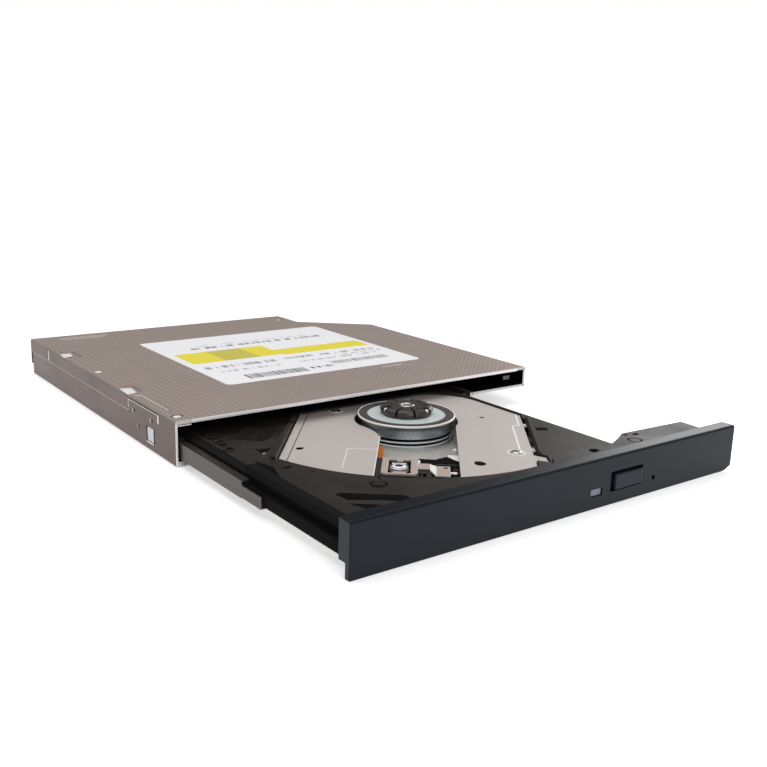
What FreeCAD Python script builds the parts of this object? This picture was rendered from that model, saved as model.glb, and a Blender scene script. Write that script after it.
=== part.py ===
"""Slim tray-loading disc drive with its tray drawn out, as a parametric document.

Frame: millimetres, +X to the right seen from the front, +Y to the rear, +Z up.
The origin lies on the housing's underside, midway across its width and depth.
Tray pieces are drawn behind the bezel's front face, then moved to the drawn-out place.
Traverse pieces are drawn about the spindle: +X is the way the pickup feeds outwards.
"""
import FreeCAD, Part
import math
import os
import Sketcher

os.makedirs("parts", exist_ok=True)
doc = FreeCAD.newDocument("disc_drive")
sheet = doc.addObject("Spreadsheet::Sheet", "Sizes")
aliases = []
nodes = []
Vector = FreeCAD.Vector


class Size:
    """A number with the expression that gives it, so that features stay bound to the sheet."""

    def __init__(self, number, text):
        self.number = float(number)
        self.text = text

    def __float__(self):
        return self.number

    def __neg__(self):
        return Size(-self.number, "(0 - " + self.text + ")")

    def __add__(self, other):
        other = size_of(other)
        return Size(self.number + other.number, "(" + self.text + " + " + other.text + ")")

    def __sub__(self, other):
        other = size_of(other)
        return Size(self.number - other.number, "(" + self.text + " - " + other.text + ")")

    def __mul__(self, other):
        other = size_of(other)
        return Size(self.number * other.number, "(" + self.text + " * " + other.text + ")")

    def __truediv__(self, other):
        other = size_of(other)
        return Size(self.number / other.number, "(" + self.text + " / " + other.text + ")")

    def __radd__(self, other):
        return size_of(other) + self

    def __rsub__(self, other):
        return size_of(other) - self

    def __rmul__(self, other):
        return size_of(other) * self


def size_of(value):
    if isinstance(value, Size):
        return value
    return Size(value, "(" + repr(float(value)) + ")")


def root(value):
    return Size(math.sqrt(value.number), "sqrt(" + value.text + ")")


def cell(alias, number):
    """Write one driving size into the next row of the sheet and give it back."""
    aliases.append(alias)
    row = str(len(aliases))
    sheet.set("A" + row, alias)
    sheet.set("B" + row, str(number))
    sheet.setAlias("B" + row, alias)
    return Size(number, "Sizes." + alias)


# Housing
case_width = cell("case_width", 128.0)
case_depth = cell("case_depth", 126.0)
case_height = cell("case_height", 12.7)
sheet_metal = cell("sheet_metal", 0.5)
deep_width = cell("deep_width", 104.0)
wing_underside = cell("wing_underside", 6.3)
wing_side_depth = cell("wing_side_depth", 90.0)
wing_step_depth = cell("wing_step_depth", 110.0)
rear_wall_inset = cell("rear_wall_inset", 1.8)
bend_radius = cell("bend_radius", 0.6)
skirt_start = cell("skirt_start", 31.0)
skirt_edge = cell("skirt_edge", 8.3)
rear_skirt_edge = cell("rear_skirt_edge", 3.7)
hem_depth = cell("hem_depth", 3.0)
hem_inset = cell("hem_inset", 4.6)
label_depth = cell("label_depth", 0.1)
label_width = cell("label_width", 75.0)
label_length = cell("label_length", 70.0)
label_front = cell("label_front", 28.0)
label_centre = cell("label_centre", 3.5)
label_corner = cell("label_corner", 2.0)
cover_screw_head = cell("cover_screw_head", 1.5)
cover_screw_shank = cell("cover_screw_shank", 0.7)
screw_play = cell("screw_play", 0.1)
mount_hole = cell("mount_hole", 0.8)
mount_pitch = cell("mount_pitch", 20.0)
mount_middle = cell("mount_middle", 44.0)
mount_height = cell("mount_height", 8.0)

# Runners between housing and tray
guide_web = cell("guide_web", 0.4)
guide_lip = cell("guide_lip", 0.6)
guide_length = cell("guide_length", 112.0)
rail_wall = cell("rail_wall", 0.5)
rail_height = cell("rail_height", 4.4)
rail_width = cell("rail_width", 2.3)
rail_length = cell("rail_length", 110.0)
rail_out = cell("rail_out", 43.5)
rail_play = cell("rail_play", 0.2)
runner_play = cell("runner_play", 0.3)
left_rail_low = cell("left_rail_low", 2.2)
right_rail_low = cell("right_rail_low", 1.4)

# Tray
tray_out = cell("tray_out", 81.2)
bezel_depth = cell("bezel_depth", 4.0)
bezel_low = cell("bezel_low", 0.1)
bezel_face = cell("bezel_face", 1.6)
bezel_round = cell("bezel_round", 0.7)
tray_wall = cell("tray_wall", 1.4)
tray_low = cell("tray_low", 1.7)
floor_under = cell("floor_under", 6.2)
floor_top = cell("floor_top", 7.4)
tray_length = cell("tray_length", 124.0)
tray_right_length = cell("tray_right_length", 112.0)
tray_step = cell("tray_step", 8.0)
tray_origin = cell("tray_origin", 64.0)
tongue_reach = cell("tongue_reach", 1.8)
rim_top = cell("rim_top", 10.0)
block_top = cell("block_top", 11.5)
recess_radius = cell("recess_radius", 61.8)
button_width = cell("button_width", 10.4)
button_height = cell("button_height", 4.0)
button_proud = cell("button_proud", 0.5)
button_play = cell("button_play", 0.3)

# Traverse, about the spindle
spindle_x = cell("spindle_x", 2.0)
spindle_depth = cell("spindle_depth", 67.2)
feed_angle = cell("feed_angle", 231.0)
cover_radius = cell("cover_radius", 51.5)
cover_left = cell("cover_left", 31.3)
cover_right = cell("cover_right", 34.0)
cover_rear = cell("cover_rear", 20.2)
cover_side = cell("cover_side", 31.95)
cover_corner = cell("cover_corner", 12.0)
cover_low = cell("cover_low", 6.4)
cover_sheet = cell("cover_sheet", 0.5)
cover_gap = cell("cover_gap", 0.35)
chassis_low = cell("chassis_low", 1.8)
chassis_web = cell("chassis_web", 0.4)
chassis_wall = cell("chassis_wall", 1.0)
chassis_top = cell("chassis_top", 5.9)
rod_radius = cell("rod_radius", 1.0)
rod_height = cell("rod_height", 3.9)
left_rod = cell("left_rod", 11.5)
right_rod = cell("right_rod", 20.5)
screw_line = cell("screw_line", 15.8)
bore_play = cell("bore_play", 0.05)
drum_radius = cell("drum_radius", 13.6)
rim_radius = cell("rim_radius", 14.2)
hub_radius = cell("hub_radius", 7.45)
lens_line = cell("lens_line", 38.4)
lens_side = cell("lens_side", 0.9)
lens_radius = cell("lens_radius", 1.8)

# Places worked out from the driving sizes
left = -case_width / 2
right = case_width / 2
front = -case_depth / 2
rear = case_depth / 2
deep_right = left + deep_width
cover_under = case_height - sheet_metal
rear_wall = rear - rear_wall_inset
wing_rear = front + wing_step_depth
wing_side = front + wing_side_depth
wing_slope = (wing_rear - wing_side) / (right - deep_right)
joggle_front = front + skirt_start
tray_face = front - tray_out
guide_left = left + sheet_metal
guide_right = deep_right - sheet_metal
rail_left = guide_left + guide_web + rail_play
rail_right = guide_right - guide_web - rail_play
tray_middle = left + tray_origin
tray_left = rail_left + rail_width + runner_play - tray_middle
tray_right = rail_right - rail_width - runner_play - tray_middle
bezel_left = left - tray_middle
bezel_right = right - tray_middle
left_rail_top = left_rail_low + rail_height
right_rail_top = right_rail_low + rail_height


def bind(item, path, value):
    item.setExpression(path, size_of(value).text)


def place(item, x, y, z, turn=None):
    """Bind an object's place, and its turn about +Z, to the sheet."""
    bind(item, "Placement.Base.x", x)
    bind(item, "Placement.Base.y", y)
    bind(item, "Placement.Base.z", z)
    if turn is not None:
        item.Placement.Rotation = FreeCAD.Rotation(Vector(0, 0, 1), 0)
        bind(item, "Placement.Rotation.Angle", turn)
    return item


def block(x0, x1, y0, y1, z0, z1):
    box = doc.addObject("Part::Box", "block")
    bind(box, "Length", x1 - size_of(x0))
    bind(box, "Width", y1 - size_of(y0))
    bind(box, "Height", z1 - size_of(z0))
    return place(box, x0, y0, z0)


def rod(x, y, z, radius, length, way="z"):
    """A cylinder that starts at a point and runs along one axis."""
    turns = {"x": (Vector(0, 1, 0), 90), "y": (Vector(1, 0, 0), -90), "z": (Vector(0, 0, 1), 0)}
    cylinder = doc.addObject("Part::Cylinder", "rod")
    axis, angle = turns[way]
    cylinder.Placement.Rotation = FreeCAD.Rotation(axis, angle)
    bind(cylinder, "Radius", radius)
    bind(cylinder, "Height", length)
    return place(cylinder, x, y, z)


def taper(x, y, z, radius, end_radius, length):
    cone = doc.addObject("Part::Cone", "taper")
    bind(cone, "Radius1", radius)
    bind(cone, "Radius2", end_radius)
    bind(cone, "Height", length)
    return place(cone, x, y, z)


def ball(x, y, z, radius):
    sphere = doc.addObject("Part::Sphere", "ball")
    bind(sphere, "Radius", radius)
    return place(sphere, x, y, z)


def fuse(*items):
    joined = doc.addObject("Part::MultiFuse", "joined")
    joined.Shapes = list(items)
    joined.Refine = True
    return joined


def group(*items):
    """Separate solids kept together as one object, which can then be placed as one."""
    holder = doc.addObject("Part::Compound", "group")
    holder.Links = list(items)
    return holder


def common(*items):
    shared = doc.addObject("Part::MultiCommon", "shared")
    shared.Shapes = list(items)
    return shared


def cut(base, *tools):
    tool = tools[0]
    if len(tools) > 1:
        tool = fuse(*tools)
    left_over = doc.addObject("Part::Cut", "cut")
    left_over.Base = base
    left_over.Tool = tool
    left_over.Refine = True
    return left_over


def arc_centre(start, end, radius):
    """The centre of the short arc between two points; a radius below 0 turns clockwise."""
    run = end[0] - start[0]
    rise = end[1] - start[1]
    chord = math.hypot(run, rise)
    height = math.sqrt(radius * radius - chord * chord / 4)
    side = math.copysign(height / chord, radius)
    return (start[0] + end[0]) / 2 - rise * side, (start[1] + end[1]) / 2 + run * side


def draw_loop(sketch, corners):
    """Draw a closed loop; a corner's third value is the radius of the arc to the next corner."""
    count = len(corners)
    first = sketch.GeometryCount
    spots = [(float(size_of(corner[0])), float(size_of(corner[1]))) for corner in corners]
    start_end = []
    for index, corner in enumerate(corners):
        start = spots[index]
        end = spots[(index + 1) % count]
        if len(corner) == 2:
            edge = Part.LineSegment(Vector(start[0], start[1], 0), Vector(end[0], end[1], 0))
            sketch.addGeometry(edge, False)
            start_end.append((1, 2))
            continue
        radius = float(size_of(corner[2]))
        centre = arc_centre(start, end, radius)
        circle = Part.Circle(Vector(centre[0], centre[1], 0), Vector(0, 0, 1), abs(radius))
        angles = [math.atan2(spot[1] - centre[1], spot[0] - centre[0]) for spot in (start, end)]
        if radius < 0:
            angles.reverse()
        sketch.addGeometry(Part.ArcOfCircle(circle, angles[0], angles[1]), False)
        start_end.append((1, 2) if radius > 0 else (2, 1))
    for index, corner in enumerate(corners):
        following = (index + 1) % count
        edge = first + index
        tail = start_end[index][1]
        head = start_end[following][0]
        sketch.addConstraint(Sketcher.Constraint("Coincident", edge, tail, first + following, head))
        if len(corner) == 3:
            number = sketch.addConstraint(
                Sketcher.Constraint("Radius", edge, abs(float(size_of(corner[2])))))
            radius = size_of(corner[2])
            bind(sketch, "Constraints[%d]" % number, radius if radius.number > 0 else -radius)
    for index, corner in enumerate(corners):
        pin_point(sketch, first + index, start_end[index][0], corner[0], corner[1])


def pin_point(sketch, edge, end, x, y):
    """Hold one sketch point at its distances from the sketch's origin."""
    for kind, value, axis in (("DistanceX", x, -2), ("DistanceY", y, -1)):
        value = size_of(value)
        if value.text == "(0.0)":
            sketch.addConstraint(Sketcher.Constraint("PointOnObject", edge, end, axis))
            continue
        number = sketch.addConstraint(Sketcher.Constraint(kind, edge, end, value.number))
        bind(sketch, "Constraints[%d]" % number, value)


def draw_ring(sketch, x, y, radius):
    circle = Part.Circle(Vector(float(size_of(x)), float(size_of(y)), 0), Vector(0, 0, 1),
                         float(size_of(radius)))
    edge = sketch.addGeometry(circle, False)
    number = sketch.addConstraint(Sketcher.Constraint("Radius", edge, float(size_of(radius))))
    bind(sketch, "Constraints[%d]" % number, radius)
    pin_point(sketch, edge, 3, x, y)


def ring(x, y, radius):
    return ("ring", x, y, radius)


def frame_loop(x0, x1, y0, y1):
    return [(x0, y0), (x1, y0), (x1, y1), (x0, y1)]


def rounded_loop(x0, x1, y0, y1, radius):
    return [(x0 + radius, y0), (x1 - radius, y0, radius), (x1, y0 + radius),
            (x1, y1 - radius, radius), (x1 - radius, y1), (x0 + radius, y1, radius),
            (x0, y1 - radius), (x0, y0 + radius, radius)]


def draw(sketch, loops):
    for loop in loops:
        if loop[0] == "ring":
            draw_ring(sketch, loop[1], loop[2], loop[3])
        else:
            draw_loop(sketch, loop)


def prism(z0, z1, *loops):
    """A straight-sided solid over the given loops, from one height to another."""
    sketch = doc.addObject("Sketcher::SketchObject", "outline")
    draw(sketch, loops)
    bind(sketch, "Placement.Base.z", z0)
    solid = doc.addObject("Part::Extrusion", "prism")
    solid.Base = sketch
    solid.DirMode = "Custom"
    solid.Dir = Vector(0, 0, 1)
    bind(solid, "LengthFwd", z1 - size_of(z0))
    solid.Solid = True
    return solid


class Moulding:
    """A body built feature by feature from loops drawn on its own planes."""

    def __init__(self, name):
        self.body = doc.addObject("PartDesign::Body", name)
        doc.recompute()

    def sketch(self, plane, height, loops):
        sketch = self.body.newObject("Sketcher::SketchObject", "outline")
        faces = [face for face in self.body.Origin.OriginFeatures if face.Role == plane]
        sketch.AttachmentSupport = [(faces[0], "")]
        sketch.MapMode = "FlatFace"
        bind(sketch, "AttachmentOffset.Base.z", height)
        draw(sketch, loops)
        return sketch

    def volume(self):
        doc.recompute()
        return self.body.Shape.Volume

    def add(self, z0, z1, *loops, plane="XY_Plane"):
        """Pad loops between two planes, given low side first; a front view counts along +Y."""
        before = 0.0 if self.body.Tip is None else self.volume()
        pad = self.body.newObject("PartDesign::Pad", "pad")
        height = -size_of(z1) if plane == "XZ_Plane" else z0
        pad.Profile = self.sketch(plane, height, loops)
        bind(pad, "Length", z1 - size_of(z0))
        if self.volume() <= before:
            raise ValueError(self.body.Label + ": a pad adds nothing")

    def take(self, z0, z1, *loops, plane="XY_Plane"):
        """Cut loops away between two planes, given low side first.

        Heights count along +Z for loops in plan, along +Y for loops seen from the front
        and along +X for loops seen from the side.
        """
        before = self.volume()
        pocket = self.body.newObject("PartDesign::Pocket", "pocket")
        height = -size_of(z0) if plane == "XZ_Plane" else z1
        pocket.Profile = self.sketch(plane, height, loops)
        bind(pocket, "Length", z1 - size_of(z0))
        if self.volume() >= before:
            raise ValueError(self.body.Label + ": a pocket cuts nothing")

    def round(self, radius, test):
        """Round the edges that the test picks out by their two end points."""
        self.dress("PartDesign::Fillet", "Radius", radius, test)

    def bevel(self, width, test):
        self.dress("PartDesign::Chamfer", "Size", width, test)

    def dress(self, kind, prop, value, test):
        before = self.volume()
        names = []
        for number, edge in enumerate(self.body.Shape.Edges, start=1):
            ends = [vertex.Point for vertex in edge.Vertexes]
            if len(ends) == 2 and test(ends[0], ends[1]):
                names.append("Edge%d" % number)
        if not names:
            raise ValueError(self.body.Label + ": no edge to dress")
        tip = self.body.Tip
        feature = self.body.newObject(kind, "dressed")
        feature.Base = (tip, names)
        bind(feature, prop, value)
        if abs(self.volume() - before) < 1e-9:
            raise ValueError(self.body.Label + ": dressing an edge changes nothing")


def along(axis, place_a, place_b, limit=1.0):
    """A test for edges along one axis at two places on the other axes, taken in order."""
    others = [index for index in range(3) if index != axis]

    def test(start, end):
        run = end - start
        if abs(run[axis]) < limit or run.Length - abs(run[axis]) > 1e-4:
            return False
        for index, value in zip(others, (place_a, place_b)):
            if value is not None and abs(start[index] - float(size_of(value))) > 1e-3:
                return False
        return True

    return test


def either(*tests):
    return lambda start, end: any(test(start, end) for test in tests)


def node(name, item, frame="housing"):
    """Name a finished piece and set it in its frame."""
    if item.TypeId in ("Part::Box", "Part::Cylinder"):
        item = group(item)
    if frame == "tray":
        place(item, tray_middle, tray_face, 0)
    if frame == "traverse":
        place(item, tray_middle + spindle_x, tray_face + spindle_depth, 0, feed_angle)
    item.Label = name
    nodes.append(item)
    return item


# Screws that hold the top cover, and the panels they go through
front_screw = (left + 2.6, front + 4.5)
rear_screw = (deep_right - 4.5, rear - 8.5)
mount_spots = (left + mount_middle - mount_pitch * 1.7, left + mount_middle - mount_pitch * 0.7)


def bottom_case():
    """Folded sheet case: deep on the left, a shallow wing on the right, open at the front."""
    case = Moulding("bottom_case_sheet")
    inner_rear = rear_wall - sheet_metal
    open_front = front - sheet_metal
    case.add(0, cover_under, frame_loop(left, deep_right, front, rear_wall))
    case.add(wing_underside, cover_under, [
        (deep_right, front), (right, front), (right, wing_side), (deep_right, wing_rear)])
    case.round(bend_radius, either(along(1, left, 0), along(1, deep_right, 0), along(0, rear_wall, 0)))
    case.round(bend_radius, along(1, right, wing_underside))
    case.take(sheet_metal, cover_under,
              frame_loop(left + sheet_metal, guide_right, open_front, inner_rear))
    slant = sheet_metal * root(wing_slope * wing_slope + 1)
    case.take(wing_underside + sheet_metal, cover_under, [
        (guide_right, open_front),
        (right - sheet_metal, open_front),
        (right - sheet_metal, wing_side - slant + wing_slope * sheet_metal),
        (deep_right, wing_rear - slant),
        (guide_right, wing_rear - slant)])
    # The left wall steps inwards where the cover's skirt laps over it
    case.take(skirt_edge - runner_play, cover_under,
              frame_loop(left, left + sheet_metal, joggle_front, rear_wall))
    case.add(skirt_edge - runner_play - sheet_metal, cover_under,
             frame_loop(left + sheet_metal, left + sheet_metal * 2,
                        joggle_front - sheet_metal, inner_rear))
    # Flanges that the cover's screws pull down on
    flange_low = cover_under - sheet_metal
    flange_reach = 1.9
    case.add(flange_low, cover_under,
             frame_loop(guide_left, front_screw[0] + flange_reach, front, front + 9))
    case.add(flange_low, cover_under,
             frame_loop(rear_screw[0] - 4, guide_right, rear_screw[1] - 4, inner_rear))
    thread = cover_screw_shank + bore_play
    case.take(flange_low, cover_under, ring(front_screw[0], front_screw[1], thread))
    case.take(flange_low, cover_under, ring(rear_screw[0], rear_screw[1], thread))
    # Window and tooling holes in the left wall
    case.take(left, guide_left, rounded_loop(front + 13.7, front + 19.9, 2.4, 7.0, size_of(0.4)),
              ring(front + 24.9, 5.3, 0.5), ring(front + 27.9, 9.2, 0.5),
              ring(front + 15.4, 9.0, 0.5), plane="YZ_Plane")
    # The connector's opening and the rear mounting holes
    case.take(inner_rear, rear_wall, frame_loop(socket_left - 0.5, socket_right + 0.5,
              sheet_metal, socket_top + runner_play), plane="XZ_Plane")
    case.take(inner_rear, rear_wall, ring(mount_spots[0], mount_height, mount_hole),
              ring(mount_spots[1], mount_height, mount_hole), plane="XZ_Plane")
    # Drawn collars give the mounting threads their depth
    for spot in mount_spots:
        case.add(inner_rear - 0.9, inner_rear, ring(spot, mount_height, mount_hole),
                 ring(spot, mount_height, mount_hole + 0.5), plane="XZ_Plane")
    return case.body


crease_depth = size_of(0.15)


def top_cover():
    """Flat lid with a hemmed front edge, a left skirt and a rear skirt."""
    cover = Moulding("top_cover")
    cover.add(cover_under, case_height, [
        (left, front), (right, front), (right, wing_side), (deep_right, wing_rear),
        (deep_right, rear), (left, rear)])
    cover.add(skirt_edge, cover_under, frame_loop(left, left + sheet_metal, joggle_front, rear))
    cover.add(rear_skirt_edge, cover_under,
              frame_loop(left, deep_right, rear - sheet_metal, rear))
    cover.add(cover_under - sheet_metal, cover_under,
              frame_loop(left + hem_inset, right - 4, front, front + hem_depth))
    # Pressed tabs along the left edge
    for tab_left, tab_right, tab_front, tab_rear in ((2.0, 5.6, 34.0, 43.0), (1.3, 6.0, 87.0, 98.0)):
        tab = frame_loop(left + tab_left, left + tab_right, front + tab_front, front + tab_rear)
        cover.add(cover_under - 0.25, cover_under, tab)
        pit = frame_loop(left + tab_left + 0.2, left + tab_right - 0.2,
                         front + tab_front + 0.2, front + tab_rear - 0.2)
        cover.take(case_height - 0.3, case_height, pit)
    cover.take(case_height - label_depth, case_height, label_loop(screw_play))
    # Crease along the left edge, grooves at the rear and the front
    cover.take(case_height - crease_depth, case_height,
               frame_loop(left + 3.3, left + 3.6, front + 9.6, front + 31.7),
               frame_loop(left + 7, left + 29, rear - 7.0, rear - 6.2),
               frame_loop(left + 79, left + 88.5, front + 20.5, front + 20.8))
    head = cover_screw_head + screw_play
    shank = cover_screw_shank + screw_play
    for spot in (front_screw, rear_screw):
        cover.take(cover_under, case_height, ring(spot[0], spot[1], shank))
        cover.take(case_height - 0.3, case_height, ring(spot[0], spot[1], head))
    cover.take(rear - sheet_metal, rear, ring(mount_spots[0], mount_height, size_of(2.0)),
               ring(mount_spots[1], mount_height, size_of(2.0)), plane="XZ_Plane")
    cover.take(rear - sheet_metal, rear, frame_loop(socket_left - 0.5, socket_right + 0.5,
               rear_skirt_edge, socket_top + 0.5), plane="XZ_Plane")
    cover.round(bend_radius, either(along(1, left, case_height, 10), along(0, rear, case_height, 10)))
    return cover.body


def label_loop(play):
    centre = left + case_width / 2 + label_centre
    half = label_width / 2 + play
    return rounded_loop(centre - half, centre + half, front + label_front - play,
                        front + label_front + label_length + play, label_corner)


def top_label():
    return prism(case_height - label_depth, case_height, label_loop(0))


def cover_screws():
    """Two flat-headed screws: heads sunk in the cover, shanks through the case's flanges."""
    screws = []
    for x, y in (front_screw, rear_screw):
        head = rod(x, y, case_height - 0.3, cover_screw_head, size_of(0.3))
        shank = rod(x, y, cover_under - 1.6, cover_screw_shank, size_of(1.9))
        cross = fuse(block(x - 0.8, x + 0.8, y - 0.15, y + 0.15, case_height - 0.2, case_height),
                     block(x - 0.15, x + 0.15, y - 0.8, y + 0.8, case_height - 0.2, case_height))
        screws.append(cut(fuse(head, shank), cross))
    return group(*screws)


def runner(wall, inward, low, wall_thick, lip_reach, height, y0, y1):
    """A channel along Y: an upright web and two lips that face inwards."""
    def span(near, far):
        return (near, far) if inward > 0 else (far, near)

    web = span(wall, wall + wall_thick * inward)
    lip = span(wall, wall + lip_reach * inward)
    low = size_of(low)
    return fuse(block(web[0], web[1], y0, y1, low, low + height),
                block(lip[0], lip[1], y0, y1, low, low + wall_thick),
                block(lip[0], lip[1], y0, y1, low + height - wall_thick, low + height))


def guide(wall, inward, rail_low):
    """The plastic runner fixed to the case; its lips reach over and under the sliding rail."""
    def span(near, far):
        return (near, far) if inward > 0 else (far, near)

    low = size_of(rail_low) - runner_play - guide_lip
    top = rail_low + rail_height + runner_play + guide_lip
    web = span(wall, wall + guide_web * inward)
    lip = span(wall, wall + (guide_web + rail_play + rail_width - runner_play) * inward)
    y0 = front + 1
    y1 = y0 + guide_length
    return fuse(block(web[0], web[1], y0, y1, low, top),
                block(lip[0], lip[1], y0, y1, low, low + guide_lip),
                block(lip[0], lip[1], y0, y1, top - guide_lip, top))


def slide_rail(wall, inward, low):
    """Folded steel rail; its upper flange is cut back at the front end."""
    y0 = front - rail_out
    rail = runner(wall, inward, low, rail_wall, rail_width, rail_height, y0, y0 + rail_length)
    outer = rail_width + 1
    near = wall - 1 if inward > 0 else wall - outer
    far = wall + outer if inward > 0 else wall + 1
    notch = block(near, far, y0 - 1, y0 + 9.3, low + rail_height - rail_wall - 0.7,
                  low + rail_height + 1)
    foot = block(near, far, y0 - 1, y0 + 9.3, low - 1, low + 0.2)
    return cut(rail, notch, foot)


socket_left = deep_right - 35
socket_right = deep_right - 2
socket_low = size_of(1.0)
socket_top = size_of(5.6)
board_low = size_of(1.2)
board_top = size_of(2.2)
board_front = rear - 17.4


def connector_board():
    """Fixed board that turns the flat cable into the rear socket."""
    board = prism(board_low, board_top, [
        (deep_right - 46, board_front), (deep_right - 3.8, board_front),
        (deep_right - 3.8, board_front + 5.4), (guide_right - guide_web, board_front + 5.4),
        (guide_right - guide_web, rear - 2.5), (deep_right - 46, rear - 2.5)])
    spacers = [rod(x, y, sheet_metal, size_of(1.4), board_low - sheet_metal)
               for x, y in ((deep_right - 43, board_front + 3.4), (deep_right - 3, board_front + 11.4))]
    return fuse(board, *spacers)


def sata_connector():
    """Right-angled socket with two blades side by side in its mouth."""
    mouth_rear = rear - 0.1
    body = fuse(block(socket_left, socket_right, rear - 9, mouth_rear, board_top, socket_top),
                block(socket_left, socket_right, rear - 2.3, mouth_rear, socket_low, socket_top))
    mouth = block(socket_left + 1, socket_right - 1, rear - 5.6, rear, board_top + 0.3,
                  socket_top - 0.6)
    blades = fuse(block(socket_left + 3, socket_left + 15, rear - 5.8, rear - 1,
                        board_top + 1, board_top + 2),
                  block(socket_left + 17, socket_right - 3, rear - 5.8, rear - 1,
                        board_top + 1, board_top + 2))
    return fuse(cut(body, mouth), blades)


lock_x = deep_right - 7
lock_radius = size_of(1.0)
lock_top = size_of(1.3)


def lock_post():
    return rod(lock_x, front + 12, sheet_metal, lock_radius, lock_top - sheet_metal)


cable_left = deep_right - 44
cable_right = deep_right - 20
cable_low = size_of(0.6)
cable_thick = size_of(0.15)
cable_return = size_of(1.2)
cable_fold = front + 1.4


def flat_flex_cable():
    """Flat cable: forward along the case, folded over near the front, back to the tray."""
    radius = (cable_return + cable_thick - cable_low) / 2
    middle = cable_low + radius
    lower = block(cable_left, cable_right, cable_fold, board_front + 1, cable_low,
                  cable_low + cable_thick)
    upper = block(cable_left, cable_right, cable_fold, tray_face + plug_front + 2, cable_return,
                  cable_return + cable_thick)
    bend = rod(cable_left, cable_fold, middle, radius, cable_right - cable_left, "x")
    inside = rod(cable_left, cable_fold, middle, radius - cable_thick,
                 cable_right - cable_left, "x")
    behind = block(cable_left, cable_right, cable_fold, cable_fold + 2, 0, 2)
    return fuse(lower, upper, cut(bend, inside, behind))


plug_front = tray_right_length - 8

# Directions of the traverse frame, seen from the tray frame
feed_cos = Size(math.cos(math.radians(feed_angle.number)), "cos(Sizes.feed_angle * 1 deg)")
feed_sin = Size(math.sin(math.radians(feed_angle.number)), "sin(Sizes.feed_angle * 1 deg)")


def in_tray(u, v):
    """A point of the traverse frame, seen in the tray frame."""
    return (spindle_x + u * feed_cos - v * feed_sin, spindle_depth + u * feed_sin + v * feed_cos)


button_left = size_of(14.6)
button_low = size_of(3.8)
window_left = size_of(6.3)
window_low = size_of(3.3)
pin_hole = (size_of(29.9), size_of(4.1))
damper_spots = (in_tray(36, -34), in_tray(3, -34), in_tray(14, 37))
damper_peg = size_of(1.2)
board_posts = ((tray_left + 10.3, size_of(76)), (tray_left + 8.3, tray_length - 8),
               (tray_left + 28.3, tray_length - 8), (size_of(12), tray_right_length - 7))
ejector_line = size_of(-20)
ejector_height = size_of(4.6)
ejector_radius = size_of(1.2)
ejector_seat = tray_length - 32
lever_pivot = (deep_right - tray_middle - 8.8, size_of(28))
pin_radius = size_of(1.0)


def front_bezel():
    """Moulded front: a thin face with a top flange and stiffened bays behind it."""
    bezel = Moulding("front_bezel")
    bezel.add(bezel_low, case_height, frame_loop(bezel_left, bezel_right, 0, bezel_depth))
    foot = size_of(3.5)
    post_left = window_left - 1.7
    post_right = pin_hole[0] + 1.7
    for x0, x1 in ((bezel_left, post_left), (post_right, bezel_right)):
        bezel.take(bezel_low, foot, frame_loop(x0, x1, bezel_face, bezel_depth))
    ribs = ((bezel_left + 1.4, -42), (-40.8, -21), (-19.8, post_left), (post_right, 46),
            (47.2, bezel_right - 1.4))
    for x0, x1 in ribs:
        bezel.take(foot + 1.1, case_height - 1.2, frame_loop(x0, x1, bezel_face, bezel_depth))
    opening = frame_loop(button_left - 1.2, button_left + button_width + button_play,
                         button_low - 0.4, button_low + button_height + 0.7)
    bezel.take(0, bezel_depth, opening, frame_loop(window_left, window_left + 4.1, window_low,
               window_low + 1.9), ring(pin_hole[0], pin_hole[1], size_of(0.65)), plane="XZ_Plane")
    bezel.take(0, bezel_depth, [(bezel_right - 3, bezel_low), (bezel_right, bezel_low),
               (bezel_right, bezel_low + 1.2)],
               plane="XZ_Plane")
    bezel.round(bezel_round, along(0, 0, case_height, 20))
    bezel.round(bezel_round / 2, either(along(2, bezel_left, 0, 5), along(2, bezel_right, 0, 5)))
    return bezel.body


def rounded_cap(x0, x1, y0, y1, z0, z1, radius):
    """A key cap: a block whose front edges are rounded."""
    cap = Moulding("cap")
    cap.add(z0, z1, frame_loop(x0, x1, y0, y1))
    cap.round(radius, either(along(0, y0, z0), along(0, y0, z1), along(2, x0, y0), along(2, x1, y0)))
    return cap.body


stem_end = size_of(6.2)
switch_gap = size_of(0.9)


def eject_button():
    middle = button_left + 4.4
    cap = rounded_cap(button_left, button_left + button_width, -button_proud, 2.5,
                      button_low, button_low + button_height, size_of(0.35))
    stem = block(middle - 1, middle + 1, 2.5, stem_end, button_low + 0.6, button_low + 2.2)
    return fuse(cap, stem)


def led_light_pipe():
    x0 = window_left + 0.1
    x1 = window_left + 4.0
    z0 = window_low + 0.1
    return fuse(block(x0, x1, 0.4, 5.9, z0, z0 + 1.7),
                block(x0 + 0.6, x1 - 0.6, 5.4, 6.4, z0 - 0.3, z0 + 1.7))


def tray_loop(inset):
    """The tray's plan: longer on the left, stepped short on the right."""
    x0 = tray_left + inset
    x1 = tray_right - inset
    step = -tray_step - inset
    return [(x0, bezel_depth + inset), (x1, bezel_depth + inset),
            (x1, tray_right_length - inset), (step, tray_right_length - inset),
            (step, tray_length - inset), (x0, tray_length - inset)]


step_depth = size_of(0.6)
field_front = size_of(69.5)
rim_spots = ((-54.2, 80.4), (-54.7, 74.1), (-55.4, 67.4))
rim_outer = size_of(1.7)


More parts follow.
